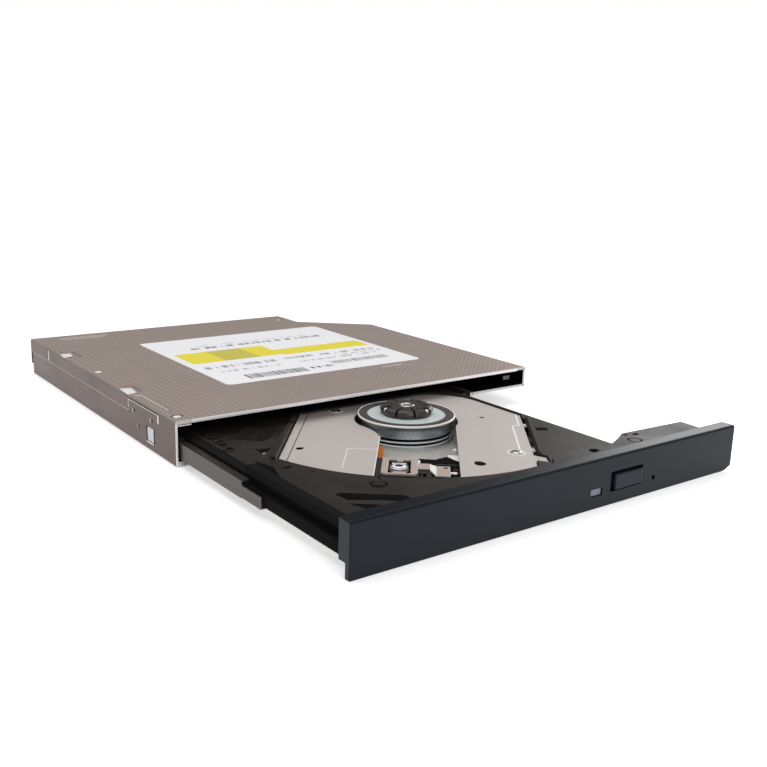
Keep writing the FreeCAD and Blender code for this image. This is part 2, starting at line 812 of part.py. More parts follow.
def tray_moulding():
    """Black tray: a raised floor on side walls, with tongues that run in the rails."""
    tray = Moulding("tray_moulding")
    tray.add(tray_low, floor_top, tray_loop(0))
    tray.take(tray_low, floor_under, tray_loop(tray_wall))
    # Tongues in the rails
    tongue_front = bezel_depth + 1
    left_low = left_rail_low + rail_wall + runner_play
    left_top = left_rail_top - rail_wall - runner_play
    right_low = right_rail_low + rail_wall + runner_play
    right_top = right_rail_top - rail_wall - runner_play
    tray.add(left_low, left_top, frame_loop(tray_left - tongue_reach, tray_left, tongue_front,
                                            tray_right_length))
    tray.add(right_low, right_top, frame_loop(tray_right, tray_right + tongue_reach, tongue_front,
                                              tray_right_length))
    # Raised rims at the left and the front
    tray.add(floor_top, rim_top, frame_loop(tray_left, tray_left + 1.8, bezel_depth, 48))
    tray.add(floor_top + 0.8, rim_top, frame_loop(tray_left - 1, tray_left, bezel_depth, 48))
    tray.add(floor_top, rim_top + 0.5, frame_loop(tray_left, tray_right, bezel_depth,
                                                  bezel_depth + tray_wall))
    # Solid corner block that reaches out over the wing
    tray.add(floor_top, block_top, [
        (tray_right - 28, bezel_depth), (bezel_right - 1.5, bezel_depth),
        (bezel_right - 1.5, bezel_depth + 1.2), (bezel_right - 7.2, bezel_depth + 1.4),
        (bezel_right - 6.7, bezel_depth + 8.8), (tray_right - 2.9, bezel_depth + 10.1),
        (tray_right - 28, bezel_depth + 10.1)])
    tray.take(floor_top + 0.8, block_top + 1, ring(spindle_x, spindle_depth, recess_radius))
    tray.take(floor_top, floor_top + 0.8, ring(spindle_x, spindle_depth, recess_radius - 2.1))
    # Openings in the floor
    tray.take(floor_under, floor_top, [
        (-48.7, 24.7), (-50.0, 26.5), (-49.8, 21.8), (-39.6, 14.9), (-36.9, 14.9), (-37.9, 16.8)],
        frame_loop(-51.2, -48.7, 47.1, 48.3),
        [(-49.8, 64.2), (-50.0, 59.0), (-45.4, 63.2)],
        [(27.0, 39.3), (29.6, 37.6), (30.1, 38.4), (27.5, 40.1)],
        ring(25.8, 16.2, 1.6), ring(-46.2, 41.8, 0.5))
    # Lowered field at the rear left, behind one level step
    tray.take(floor_top - step_depth, floor_top, [
        (tray_left + 4.2, field_front), (-38.1, field_front), (-34, field_front + 6), (-22, 92),
        (-22, tray_length - 3), (tray_left + 4.2, tray_length - 3)])
    # Rimmed screw holes beside the left wall
    for x, y in rim_spots:
        tray.add(floor_top - step_depth, floor_top + 0.3, ring(x, y, rim_outer))
        tray.take(floor_under + 0.3, floor_top + 0.3, ring(x, y, rim_outer - 0.6))
    # Boss in a ring groove, with a short groove towards the plate
    tray.take(floor_top - 0.5, floor_top, ring(-38, 26.2, 2.3), ring(-38, 26.2, 1.6))
    tray.add(floor_top, floor_top + 0.3, ring(-38, 26.2, 1.2))
    tray.take(floor_top - 0.4, floor_top, [(-36.6, 28.4), (-36.1, 27.9), (-34.2, 30.9), (-34.8, 31.3)])
    # Catch strip along the traverse's left edge, ridge and curve along its right edge
    tray.add(floor_top, floor_top + 0.8, [
        in_tray(42.5, -31.8), in_tray(42.5, -33.1), in_tray(12.5, -33.1), in_tray(12.5, -31.8)],
        [in_tray(9.5, -31.8), in_tray(9.5, -33.1), in_tray(4.0, -33.1), in_tray(4.0, -31.8)])
    tray.add(floor_top, floor_top + 0.5, [
        in_tray(-5, 35.5), in_tray(30.2, 35.5), in_tray(30.2, 36.0), in_tray(-5, 36.0)],
        [in_tray(33.6, 38.3), in_tray(39, 38.3), in_tray(39, 38.8), in_tray(33.0, 38.8)])
    # Boss and holes on the corner block
    tray.take(block_top - 0.4, block_top, ring(31.8, 8.2, 2.0), ring(31.8, 8.2, 1.5))
    tray.take(floor_top + 1.5, block_top, ring(33.4, 12.6, 0.6), rounded_loop(35.2, 37.4, 11.0, 12.2, 0.55))
    # Bosses and pegs under the floor
    for x, y in damper_spots:
        tray.add(2.9, floor_under, ring(x, y, damper_peg))
    for x, y in board_posts:
        tray.add(board_high, floor_under, ring(x, y, size_of(1.4)))
    for x in (12, 26):
        tray.add(board_high, floor_under, ring(x, 9.4, size_of(1.0)))
    tray.add(1.9, floor_under, ring(lever_pivot[0], lever_pivot[1], pin_radius))
    for x, y in damper_spots:
        tray.take(2.9, floor_under, ring(x, y, damper_peg / 2))
    for x, y in board_posts[:3]:
        tray.take(board_high, floor_under, ring(x, y, screw_hole - 0.1))
    # Guide bore of the ejector
    tray.add(2.8, floor_under, frame_loop(ejector_line - 3, ejector_line + 3, ejector_seat - 1.5,
                                          tray_length - tray_wall))
    tray.take(ejector_seat, tray_length, ring(ejector_line, ejector_height, ejector_radius + 0.1),
              plane="XZ_Plane")
    # Passages for the button's stem, the light pipe and the release pin
    tray.take(bezel_depth, bezel_depth + tray_wall,
              frame_loop(button_left + 2.9, button_left + 5.9, button_low, button_low + 2.8),
              frame_loop(window_left - 0.2, window_left + 4.3, window_low - 0.5, window_low + 2.1),
              ring(pin_hole[0], pin_hole[1], size_of(0.8)), plane="XZ_Plane")
    tray.bevel(tray_wall, along(1, tray_right, floor_top, 30))
    return tray.body


screw_hole = size_of(0.75)
board_under = size_of(1.9)
board_high = size_of(2.7)


def traverse_field(grow, z0, z1):
    """The traverse cover's plan, grown by a margin, in the traverse frame."""
    reach = 2 * cover_radius
    strip = block(-cover_radius, reach, -cover_left - grow, cover_right + grow, z0, z1)
    disc = rod(0, 0, z0, cover_radius + grow, z1 - size_of(z0))
    x1 = cover_side + grow
    y1 = cover_rear + grow
    room = prism(z0, z1, [
        (-reach, -reach), (x1, -reach), (x1, y1 - cover_corner - 4, cover_corner * 1.3),
        (x1 - cover_corner, y1), (-reach, y1)])
    place(room, 0, 0, z0, -feed_angle)
    bind(room.Base, "Placement.Base.z", 0)
    lobe = prism(z0, z1, [
        (28.6 - grow, cover_right - 1), (34, cover_right - 1), (35.4 + grow, cover_right + 3.4 + grow),
        (30.8 - grow, cover_right + 3.0 + grow)])
    return fuse(common(strip, disc, room), lobe)


def tray_body():
    tray = tray_moulding()
    opening = traverse_field(cover_gap, floor_under - 0.5, floor_top + 0.5)
    place(opening, spindle_x, spindle_depth, 0, feed_angle)
    relief = block(cover_radius - 3, lens_line + 28.5, -6.2, 5, floor_under - 1, floor_under + 0.5)
    side_gap = group(block(-4, 29.5, cover_right - 1, cover_right + 1.1,
                           floor_under - 0.5, floor_top + 0.4))
    sunk = group(relief)
    place(sunk, spindle_x, spindle_depth, 0, feed_angle)
    place(side_gap, spindle_x, spindle_depth, 0, feed_angle)
    return cut(tray, opening, sunk, side_gap)


def board_loop():
    x0 = tray_left + 2.3
    y1 = tray_right_length - 1.7
    y2 = tray_length - 2
    step = -tray_step - 2
    return [(x0, 55.5), (x0 + 26, 87.5), (x0 + 30, 92), (22, 92), (22, y1), (step, y1),
            (step, y2), (x0, y2)]


def main_board():
    board = prism(board_under, board_high, board_loop())
    return cut(board, *[rod(x, y, 0, screw_hole, size_of(4)) for x, y in board_posts[:3]])


def board_chips():
    """The larger packages on the main board's upper face."""
    corner = tray_left + 2.3
    back = tray_length - 32
    side = tray_right_length - 17
    spots = ((corner + 3, 10, back, 10, 1.0), (corner + 15, 8, back + 2, 10, 0.9),
             (corner + 3, 6, back - 12, 6, 0.8), (corner + 49, 8, side, 6, 0.9),
             (corner + 61, 5, side + 1, 5, 0.7), (corner + 12, 8, back + 16, 5, 0.9))
    return group(*[block(x0, x0 + wide, y0, y0 + deep, board_high, board_high + tall)
                  for x0, wide, y0, deep, tall in spots])


def flex_connector():
    low = cable_return + cable_thick
    return block(cable_left - tray_middle - 1, cable_right - tray_middle + 1,
                 plug_front, plug_front + 6, low, board_under)


def tray_bottom_cover():
    """Thin plate under the tray, open below the traverse and round the lock lever's foot."""
    low = tray_low - 0.3
    plate = prism(low, tray_low, [
        (tray_left, bezel_depth + 2), (tray_right, bezel_depth + 2), (tray_right, plug_front - 1),
        (-tray_step - 2, plug_front - 1), (-tray_step - 2, tray_length - tray_wall),
        (tray_left, tray_length - tray_wall)])
    window = block(-17, 70, -16, 23, low - 1, tray_low + 1)
    turned_window = group(window)
    place(turned_window, spindle_x, spindle_depth, 0, feed_angle)
    foot_slot = block(lever_pivot[0] - 4, tray_right - tray_wall - 0.2, 15, 24, low - 1, tray_low + 1)
    holes = [rod(x, y, 0, screw_hole, size_of(4)) for x, y in board_posts[:3]]
    return cut(plate, turned_window, foot_slot, *holes)


def bottom_cover_screws():
    screws = []
    for x, y in board_posts[:3]:
        head = rod(x, y, tray_low - 0.6, size_of(1.5), size_of(0.3))
        shank = rod(x, y, tray_low - 0.6, screw_hole - 0.15, size_of(3.0))
        screws.append(fuse(head, shank))
    return group(*screws)


def switch_board():
    return block(4, 30, bezel_depth + tray_wall + 0.4, 11.6, board_under, board_high)


def eject_switch():
    middle = button_left + 4.4
    body = block(middle - 2.2, middle + 2.2, stem_end + switch_gap + 0.8, 11.2, board_high, 6.0)
    plunger = rod(middle, stem_end + switch_gap, button_low + 1.4, size_of(0.7), size_of(0.8), "y")
    return fuse(body, plunger)


def status_led():
    return block(window_left + 0.9, window_left + 3.2, 6.5, 8.3, board_high, window_low + 1.6)


solenoid_left = size_of(16.6)
solenoid_right = size_of(26.6)
solenoid_line = size_of(15.5)
plunger_height = size_of(4.6)
plunger_radius = size_of(0.8)


def lock_solenoid():
    body = block(solenoid_left, solenoid_right, 12.2, 18.8, 2.9, floor_under)
    bore = rod(solenoid_left + 2, solenoid_line, plunger_height, plunger_radius + 0.1,
               solenoid_right - solenoid_left, "x")
    yoke = block(solenoid_left - 0.6, solenoid_left, 12.6, 18.4, 2.5, floor_under)
    return fuse(cut(body, bore), yoke)


def lock_plunger():
    return rod(solenoid_left + 5.2, solenoid_line, plunger_height, plunger_radius,
               size_of(6.6), "x")


def lock_lever():
    """Swinging lever with a foot that drops behind the post of the case."""
    x, y = lever_pivot
    eye = cut(rod(x, y, 2.0, size_of(2.2), size_of(1.6)),
              rod(x, y, 1.9, pin_radius + bore_play, size_of(2)))
    arm = prism(2.0, 3.6, [(x - 1.6, y - 1), (x + 0.4, y - 1), (x - 0.2, 17.8), (x - 2.6, 17.8)])
    arm_clear = cut(arm, rod(x, y, 1.9, pin_radius + bore_play, size_of(2)))
    foot = block(x - 2.4, x - 0.6, 17.6, 19.2, 0.8, 2.4)
    lug = block(x - 2.2, x - 1.0, 13.9, 18.4, 2.6, 5.4)
    return fuse(eye, arm_clear, foot, lug)


def ejector_rod():
    """Spring-loaded pin that pushes the tray off the rear wall; hollow in front for its spring."""
    start = ejector_seat + 12.9
    body = rod(ejector_line, start, ejector_height, ejector_radius, size_of(30), "y")
    tip = ball(ejector_line, start + 30, ejector_height, ejector_radius)
    return fuse(body, tip)


def ejector_spring():
    """Compression spring between the bore's end and the pin."""
    turns = 8
    wire = size_of(0.15).number
    radius = ejector_radius.number - 0.3
    length = 12.9 - 4 * wire
    helix = Part.makeHelix(length / turns, length, radius)
    start = Vector(radius, 0, 0)
    profile = Part.Wire(Part.makeCircle(wire, start, Vector(0, 1, 0)))
    coil = Part.Wire(helix).makePipeShell([profile], True, True)
    spring = doc.addObject("Part::Feature", "spring")
    spring.Shape = coil
    spring.Placement.Rotation = FreeCAD.Rotation(Vector(1, 0, 0), -90)
    place(spring, ejector_line, ejector_seat + 2 * wire, ejector_height)
    return group(spring)


cover_top = cover_low + cover_sheet
web_top = chassis_low + chassis_web
window_right = size_of(14.4)
window_side = size_of(6.7)
motor_clear = rim_radius + 1
left_screw = (size_of(-6.0), size_of(-21.2))
right_screw = (size_of(27.5), size_of(29.7))
ear_low = size_of(4.2)
ear_thick = size_of(0.8)
ear_spots = ((36, -34), (3, -34), (14, 37))
rubber_radius = size_of(2.4)
left_rod_start = size_of(11.2)
left_rod_end = size_of(68.4)
right_rod_start = size_of(-7.8)
right_rod_end = size_of(58.8)


def window_loop(z_margin=0):
    """The cover's window: round the motor, then a slot for the pickup's travel."""
    foot = root(motor_clear * motor_clear - window_right * window_right)
    end = cover_radius + 4
    flare = (motor_clear * 0.5, -motor_clear * size_of(math.sqrt(0.75)))
    return [(end, window_right), (foot, window_right, motor_clear), (-motor_clear, 0, motor_clear),
            (flare[0], flare[1], -motor_clear * 1.2), (19, -window_side), (end, -window_side)]


def traverse_cover():
    """Grey sheet over the traverse: arc front, window, small stamped holes, screw seats."""
    tabs = [block(u, u + 2.4, cover_right - 0.5, cover_right + 0.9, cover_low, cover_top)
            for u in (0, 23.2)]
    sheet_body = fuse(traverse_field(0, cover_low, cover_top), *tabs)
    window = prism(cover_low - 1, cover_top + 1, window_loop())
    holes = [rod(u, v, cover_low - 1, radius, size_of(3))
             for u, v, radius in ((-6.0, 21.8, 0.4), (36.6, 19.2, 1.1), (30.6, -26.7, 0.75))]
    seats = [rod(u, v, cover_low - 1, 0.85, size_of(3)) for u, v in (left_screw, right_screw)]
    return cut(sheet_body, window, *holes, *seats)


def traverse_screws():
    screws = []
    for u, v in (left_screw, right_screw):
        head = rod(u, v, cover_top, size_of(1.4), size_of(0.5))
        shank = rod(u, v, cover_top - 2, size_of(0.6), size_of(2.2))
        cross = fuse(block(u - 0.8, u + 0.8, v - 0.15, v + 0.15, cover_top + 0.25, cover_top + 1),
                     block(u - 0.15, u + 0.15, v - 0.8, v + 0.8, cover_top + 0.25, cover_top + 1))
        screws.append(cut(fuse(head, shank), cross))
    return group(*screws)


def pan_solid(inset, z0, field_top, nose_top):
    """The chassis pan's plan: under the cover, with a nose that reaches out to the rods' ends."""
    nose = prism(z0, nose_top, [
        (20, -15.5 + inset), (69.5 - inset, -15.5 + inset), (69.8 - inset, 9 - inset * 0.4),
        (59.6 - inset * 0.8, 22.8 - inset), (33, 30 - inset), (20, 30 - inset)])
    return fuse(traverse_field(-0.7 - inset, z0, field_top), nose)


def rod_seat(u0, u1, v):
    """A block that cradles the lower half of a guide rod."""
    seat = block(u0, u1, v - 1.7, v + 1.7, web_top, rod_height)
    groove = rod(u0 - 1, v, rod_height, rod_radius + 0.02, u1 - size_of(u0) + 2, "x")
    return cut(seat, groove)


def seat_spans():
    return ((left_rod_start, left_rod_start + 2.4, -left_rod),
            (left_rod_end - 2.2, left_rod_end, -left_rod),
            (right_rod_start, right_rod_start + 2.2, right_rod),
            (right_rod_end - 1.6, right_rod_end, right_rod))


def traverse_chassis():
    """Pan-shaped chassis with rod seats, screw posts and three ears for the dampers."""
    pan = cut(pan_solid(size_of(0), chassis_low, cover_low, chassis_top),
              pan_solid(chassis_wall, web_top, cover_low + 1, cover_low + 1))
    pieces = [pan]
    for u0, u1, v in seat_spans():
        pieces.append(rod_seat(u0, u1, v))
    for u, v in (left_screw, right_screw):
        pieces.append(rod(u, v, web_top, size_of(1.8), cover_low - web_top))
    cuts = [rod(u, v, web_top + 0.5, size_of(0.65), size_of(5)) for u, v in (left_screw, right_screw)]
    cuts.append(rod(right_rod_start, right_rod, rod_height, rod_radius + 0.02,
                    right_rod_end - right_rod_start, "x"))
    for u, v in ear_spots:
        side = -1 if v < 0 else 1
        inner = -cover_left + 0.9 if v < 0 else cover_right - 0.9
        ends = (v, inner) if side < 0 else (inner, v)
        pieces.append(rod(u, v, ear_low, rubber_radius + 1, ear_thick))
        pieces.append(block(u - 3, u + 3, ends[0], ends[1], ear_low, ear_low + ear_thick))
        cuts.append(rod(u, v, ear_low - 1, rubber_radius + bore_play, size_of(3)))
    return cut(fuse(*pieces), *cuts)


def damper_rubbers():
    rubbers = []
    for x, y in damper_spots:
        outer = rod(x, y, 3.0, rubber_radius, floor_under - 3.0)
        bore = rod(x, y, 2.9, damper_peg + bore_play, size_of(4))
        rubbers.append(cut(outer, bore))
    return group(*rubbers)


def damper_screws():
    screws = []
    for x, y in damper_spots:
        head = rod(x, y, 2.3, size_of(1.9), size_of(0.6))
        shank = rod(x, y, 2.3, damper_peg / 2 - bore_play, size_of(2.8))
        screws.append(fuse(head, shank))
    return group(*screws)


def left_guide_rod():
    return rod(left_rod_start, -left_rod, rod_height, rod_radius, left_rod_end - left_rod_start, "x")


def right_guide_rod():
    return rod(right_rod_start, right_rod, rod_height, rod_radius, right_rod_end - right_rod_start, "x")


def rod_clamps():
    """Small bent plates that hold the rods down in their seats."""
    clamps = []
    for u0, u1, v in seat_spans():
        plate = block(u0 + 0.2, u1 - 0.2, v - 1.3, v + 1.3, rod_height, rod_height + 1.5)
        groove = rod(u0 - 1, v, rod_height, rod_radius + 0.02, u1 - u0 + 2, "x")
        clamps.append(cut(plate, groove))
    return group(*clamps)


motor_hub = size_of(4.5)
motor_shoulder = size_of(4.3)
shaft_radius = size_of(1.0)


def motor_base():
    """Fixed foot of the spindle motor: a stepped ring and the sleeve that holds the bearing."""
    foot = rod(0, 0, web_top, drum_radius + 0.4, size_of(0.3))
    low_ring = rod(0, 0, web_top, drum_radius - 0.5, size_of(1.0))
    neck = rod(0, 0, web_top, drum_radius - 1.1, size_of(1.5))
    high_ring = rod(0, 0, web_top + 1.5, drum_radius - 0.3, size_of(0.4))
    shoulder = rod(0, 0, web_top, motor_hub + 1.5, motor_shoulder - web_top)
    sleeve = rod(0, 0, web_top, motor_hub, size_of(5.0))
    bore = rod(0, 0, web_top + 0.4, motor_hub - 1.45, size_of(6))
    return cut(fuse(foot, low_ring, neck, high_ring, shoulder, sleeve), bore)


def motor_bearing():
    tube = rod(0, 0, web_top + 0.4, motor_hub - 1.5, size_of(4.5))
    bore = rod(0, 0, web_top + 0.3, shaft_radius + bore_play, size_of(5))
    return cut(tube, bore)


def motor_stator():
    """Laminated core with nine wound poles."""
    core = rod(0, 0, motor_shoulder, motor_hub + 1.6, size_of(2.8))
    bore = rod(0, 0, motor_shoulder - 1, motor_hub + bore_play, size_of(6))
    poles = [cut(core, bore)]
    reach = drum_radius - 1.1
    for number in range(9):
        angle = 40.0 * number
        arm = block(motor_hub + 1, reach, -0.8, 0.8, motor_shoulder + 0.8, motor_shoulder + 2.0)
        coil = block(motor_hub + 2.2, reach - 1.2, -1.5, 1.5, motor_shoulder + 0.1, motor_shoulder + 2.7)
        shoe = block(reach - 1.0, reach, -3.2, 3.2, motor_shoulder + 0.6, motor_shoulder + 2.2)
        pole = fuse(arm, coil, shoe)
        pole.Placement.Rotation = FreeCAD.Rotation(Vector(0, 0, 1), angle)
        poles.append(pole)
    joined = fuse(*poles)
    return common(joined, rod(0, 0, motor_shoulder - 1, reach, size_of(6)))


def motor_flex():
    return fuse(block(0, 7, -27, -drum_radius - 0.6, web_top, web_top + 0.15),
                block(0, 7, -27, -22, web_top, web_top + 0.5))


def rotor_cup():
    """Steel cup that carries the magnet ring: shiny drum, roof and centre boss."""
    outer = rod(0, 0, 4.9, drum_radius, size_of(3.4))
    inner = rod(0, 0, 4.8, drum_radius - 0.8, size_of(2.9))
    boss = rod(0, 0, 7.7, size_of(3.0), size_of(1.2))
    hole = rod(0, 0, 7.0, shaft_radius + 0.01, size_of(3))
    return cut(fuse(cut(outer, inner), boss), hole)


def spindle_shaft():
    return rod(0, 0, web_top + 0.5, shaft_radius, size_of(7.6))


def turntable():
    plate = rod(0, 0, 8.3, rim_radius, size_of(0.3))
    rim = cut(rod(0, 0, 8.3, rim_radius, size_of(0.5)), rod(0, 0, 8.2, rim_radius - 0.25, size_of(1)))
    step = rod(0, 0, 8.3, hub_radius + 0.5, size_of(0.6))
    hole = rod(0, 0, 8.0, size_of(3.05), size_of(2))
    return cut(fuse(plate, rim, step), hole)


def turntable_rubber():
    return cut(rod(0, 0, 8.6, rim_radius - 0.3, size_of(0.25)),
               rod(0, 0, 8.5, rim_radius - 2.7, size_of(1)))


def disc_hub():
    """Centring boss with nine sprung claws round its edge."""
    low = size_of(8.9)
    drum = fuse(rod(0, 0, low, hub_radius, size_of(1.7)),
                taper(0, 0, low + 1.7, hub_radius, hub_radius - 0.8, size_of(0.6)))
    slots = []
    for number in range(9):
        slot = block(hub_radius - 3.0, hub_radius + 1, -0.25, 0.25, low + 0.4, low + 3)
        wing = block(hub_radius - 3.0, hub_radius - 2.5, -1.3, 1.3, low + 0.7, low + 3)
        pair = fuse(slot, wing)
        pair.Placement.Rotation = FreeCAD.Rotation(Vector(0, 0, 1), 40.0 * number)
        slots.append(pair)
    pockets = []
    for number in range(3):
        pocket = ball(0, 0, 0, size_of(1.05))
        angle = math.radians(120.0 * number + 20)
        reach = hub_radius - 0.75
        place(pocket, reach * math.cos(angle), reach * math.sin(angle), low + 1.45)
        pockets.append(pocket)
    recess = rod(0, 0, low + 2.1, size_of(1.95), size_of(1))
    hole = rod(0, 0, low - 1, shaft_radius + 0.02, size_of(2.6))
    return cut(drum, recess, hole, *slots, *pockets)


def hub_cap():
    return rod(0, 0, 11.0, size_of(1.9), size_of(0.4))


def disc_balls():
    balls = []
    for number in range(3):
        angle = math.radians(120.0 * number + 20)
        reach = hub_radius - 0.75
        balls.append(ball(reach * math.cos(angle), reach * math.sin(angle), 10.35, size_of(0.95)))
    return group(*balls)


def feed_motor():
    can = common(rod(-18.5, screw_line, 4.1, size_of(3.4), size_of(10), "x"),
                 block(-19, -8, screw_line - 4, screw_line + 4, web_top, chassis_top))
    bore = rod(-10, screw_line, rod_height, size_of(1.1), size_of(3), "x")
    return cut(can, bore)


def lead_screw():
    """Feed screw: a shaft with a rolled thread along the nut's travel."""
    start = size_of(-9.8)
    shaft = rod(start, screw_line, rod_height, size_of(0.75), 60.4 - start, "x")
    threads = [rod(u, screw_line, rod_height, size_of(0.95), size_of(0.7), "x")
               for u in [12.0 + 1.4 * step for step in range(31)]]
    return fuse(shaft, *threads)


screw_post = size_of(58.6)


def lead_screw_bracket():
    post = block(screw_post, screw_post + 2, screw_line - 1.5, screw_line + 1.5, web_top, rod_height + 1.3)
    bore = rod(screw_post - 1, screw_line, rod_height, size_of(0.8), size_of(4), "x")
    return cut(post, bore)


sled_low = size_of(2.6)
sled_top = size_of(5.6)


def pickup_sled():
    """Die-cast carriage: block round the lens, bored arm on one rod, fork on the other."""
    body = block(lens_line - 5.9, lens_line + 7.6, -7, 8, sled_low, sled_top)
    well = block(lens_line - 3.6, lens_line + 6.4, -4, 2.4, sled_low + 0.7, sled_top + 1)
    left_arm = block(lens_line - 8.4, lens_line + 7.6, -13.4, -7, sled_low, sled_top - 0.1)
    bore = rod(lens_line - 9, -left_rod, rod_height, rod_radius + bore_play, size_of(18), "x")
    gap = block(lens_line - 5, lens_line + 4.4, -13.5, -9.8, sled_low - 1, sled_top + 1)
    right_arm = block(34, 37, 8, 21, 5.1, 5.9)
    fork = cut(block(34, 37, 18.7, 21, sled_low, 5.9),
               rod(33, right_rod, rod_height, rod_radius + bore_play, size_of(5), "x"),
               block(33, 38, right_rod, 22, rod_height - rod_radius - bore_play,
                     rod_height + rod_radius + bore_play))
    nut_arm = block(32.5, 34.4, 8, 11.6, 3.4, sled_top)
    return cut(fuse(body, left_arm, right_arm, fork, nut_arm), well, bore, gap)


def pickup_cover():
    plate = block(lens_line - 5.4, lens_line + 7.1, -5.3, 3.9, sled_top, sled_top + 0.5)
    window = block(lens_line - 3.7, lens_line + 6.6, -3.6, 2.1, sled_top - 1, sled_top + 1)
    return cut(plate, window)


def spring_plate():
    plate = prism(sled_top, sled_top + 0.3, [
        (lens_line - 5, 4.1), (lens_line - 1.4, 4.1), (lens_line - 1.4, 7.4), (lens_line + 0.6, 7.8),
        (lens_line + 7.4, 7.8), (lens_line + 7.4, 11.6), (lens_line + 0.6, 11.6),
        (lens_line + 0.6, 8.0), (lens_line - 5, 7.6)])
    hole = rod(lens_line + 1.9, 10.2, sled_top - 1, size_of(0.7), size_of(3))
    return cut(plate, hole)


def lead_nut():
    """White toothed nut that rides in the feed screw's thread."""
    body = block(28.5, 34.5, 11.6, screw_line + 1.2, rod_height - 0.9, 4.95)
    bore = rod(28, screw_line, rod_height, size_of(1.02), size_of(7), "x")
    side = block(28, 35, screw_line, screw_line + 2, rod_height - 2, rod_height + 2)
    tab = block(28.5, 33.8, 11.6, 14.2, 4.95, 5.8)
    return fuse(cut(body, bore, side), tab)


def laser_diode():
    can = rod(lens_line + 3.2, 8, 4.1, size_of(1.4), size_of(1.6), "y")
    flange = rod(lens_line + 3.2, 9.6, 4.1, size_of(1.45), size_of(0.5), "y")
    return fuse(can, flange)


def pickup_flex():
    return fuse(block(22.5, lens_line - 5.9, -9, -5.3, sled_top - 0.1, sled_top + 0.05),
                block(lens_line - 5.9, lens_line - 5.5, -6.9, -5.4, sled_top, sled_top + 0.15))


def lens_holder():
    """Moving holder between the coils, with the lens seat on top."""
    body = block(lens_line - 2.8, lens_line + 3.2, -2.9, 1.1, 3.9, 5.3)
    seat = rod(lens_line, -lens_side, 5.3, lens_radius + 0.15, size_of(0.4))
    bore = rod(lens_line, -lens_side, 3.8, lens_radius - 0.3, size_of(3))
    pocket = rod(lens_line, -lens_side, 5.4, lens_radius + 0.02, size_of(1))
    return cut(fuse(body, seat), bore, pocket)


def objective_lens():
    edge = rod(lens_line, -lens_side, 5.4, lens_radius, size_of(0.2))
    curve = size_of(4.2)
    dome = common(ball(lens_line, -lens_side, 5.95 - curve, curve),
                  rod(lens_line, -lens_side, 5.5, lens_radius - 0.3, size_of(1)))
    return fuse(edge, dome)


def magnets():
    return fuse(block(lens_line - 3.5, lens_line - 3.1, -2.9, 1.1, sled_low + 0.7, 5.4),
                block(lens_line + 3.9, lens_line + 4.6, -2.9, 1.1, sled_low + 0.7, 5.4))


left_guide_wall = guide(guide_left, 1, left_rail_low)
right_guide_wall = guide(guide_right, -1, right_rail_low)

node("bottom_case", bottom_case())
node("top_cover", top_cover())
node("top_label", top_label())
node("cover_screws", cover_screws())
node("left_guide", left_guide_wall)
node("right_guide", right_guide_wall)
node("connector_board", connector_board())
node("sata_connector", sata_connector())
node("lock_post", lock_post())
node("flat_flex_cable", flat_flex_cable())
node("left_rail", slide_rail(rail_left, 1, left_rail_low))
node("right_rail", slide_rail(rail_right, -1, right_rail_low))
node("tray_body", tray_body(), "tray")
node("front_bezel", front_bezel(), "tray")
node("eject_button", eject_button(), "tray")
node("led_light_pipe", led_light_pipe(), "tray")
node("switch_board", switch_board(), "tray")
node("eject_switch", eject_switch(), "tray")
node("status_led", status_led(), "tray")
node("main_board", main_board(), "tray")
node("board_chips", board_chips(), "tray")
node("flex_connector", flex_connector(), "tray")
node("tray_bottom_cover", tray_bottom_cover(), "tray")
node("bottom_cover_screws", bottom_cover_screws(), "tray")
node("lock_solenoid", lock_solenoid(), "tray")
node("lock_plunger", lock_plunger(), "tray")
node("lock_lever", lock_lever(), "tray")
node("ejector_rod", ejector_rod(), "tray")
node("ejector_spring", ejector_spring(), "tray")
node("damper_rubbers", damper_rubbers(), "tray")
node("damper_screws", damper_screws(), "tray")
node("traverse_cover", traverse_cover(), "traverse")
node("traverse_screws", traverse_screws(), "traverse")
node("traverse_chassis", traverse_chassis(), "traverse")
node("left_guide_rod", left_guide_rod(), "traverse")
node("right_guide_rod", right_guide_rod(), "traverse")
node("rod_clamps", rod_clamps(), "traverse")
node("motor_base", motor_base(), "traverse")
node("motor_bearing", motor_bearing(), "traverse")
node("motor_stator", motor_stator(), "traverse")
node("motor_flex", motor_flex(), "traverse")
node("rotor_cup", rotor_cup(), "traverse")
node("spindle_shaft", spindle_shaft(), "traverse")
node("turntable", turntable(), "traverse")
node("turntable_rubber", turntable_rubber(), "traverse")
node("disc_hub", disc_hub(), "traverse")
node("hub_cap", hub_cap(), "traverse")
node("disc_balls", disc_balls(), "traverse")
node("feed_motor", feed_motor(), "traverse")
node("lead_screw", lead_screw(), "traverse")
node("lead_screw_bracket", lead_screw_bracket(), "traverse")
node("pickup_sled", pickup_sled(), "traverse")
node("pickup_cover", pickup_cover(), "traverse")
node("spring_plate", spring_plate(), "traverse")
node("lead_nut", lead_nut(), "traverse")
node("laser_diode", laser_diode(), "traverse")
node("pickup_flex", pickup_flex(), "traverse")
node("lens_holder", lens_holder(), "traverse")
node("objective_lens", objective_lens(), "traverse")
node("actuator_magnets", magnets(), "traverse")

doc.recompute()
failed = [item.Name for item in doc.Objects if "Invalid" in item.State or "Error" in item.State]
failed += [item.Label for item in nodes if item.Shape.isNull() or not item.Shape.isValid()]
failed += [item.Label for item in nodes if not item.Shape.Solids]
if failed:
    raise ValueError("these have failed: " + ", ".join(failed))
for item in nodes:
    item.Shape.exportStep("parts/" + item.Label + ".step")
print(len(nodes), "pieces written")
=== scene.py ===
"""A slim tray-loading disc drive with its tray drawn out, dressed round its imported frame.

Lengths are metres; mm turns a length in millimetres into metres. The origin is on the housing's
underside, +X to the right seen from the front, +Y to the rear and +Z up.
"""

import math

import bmesh
import bpy
from mathutils import Matrix, Vector


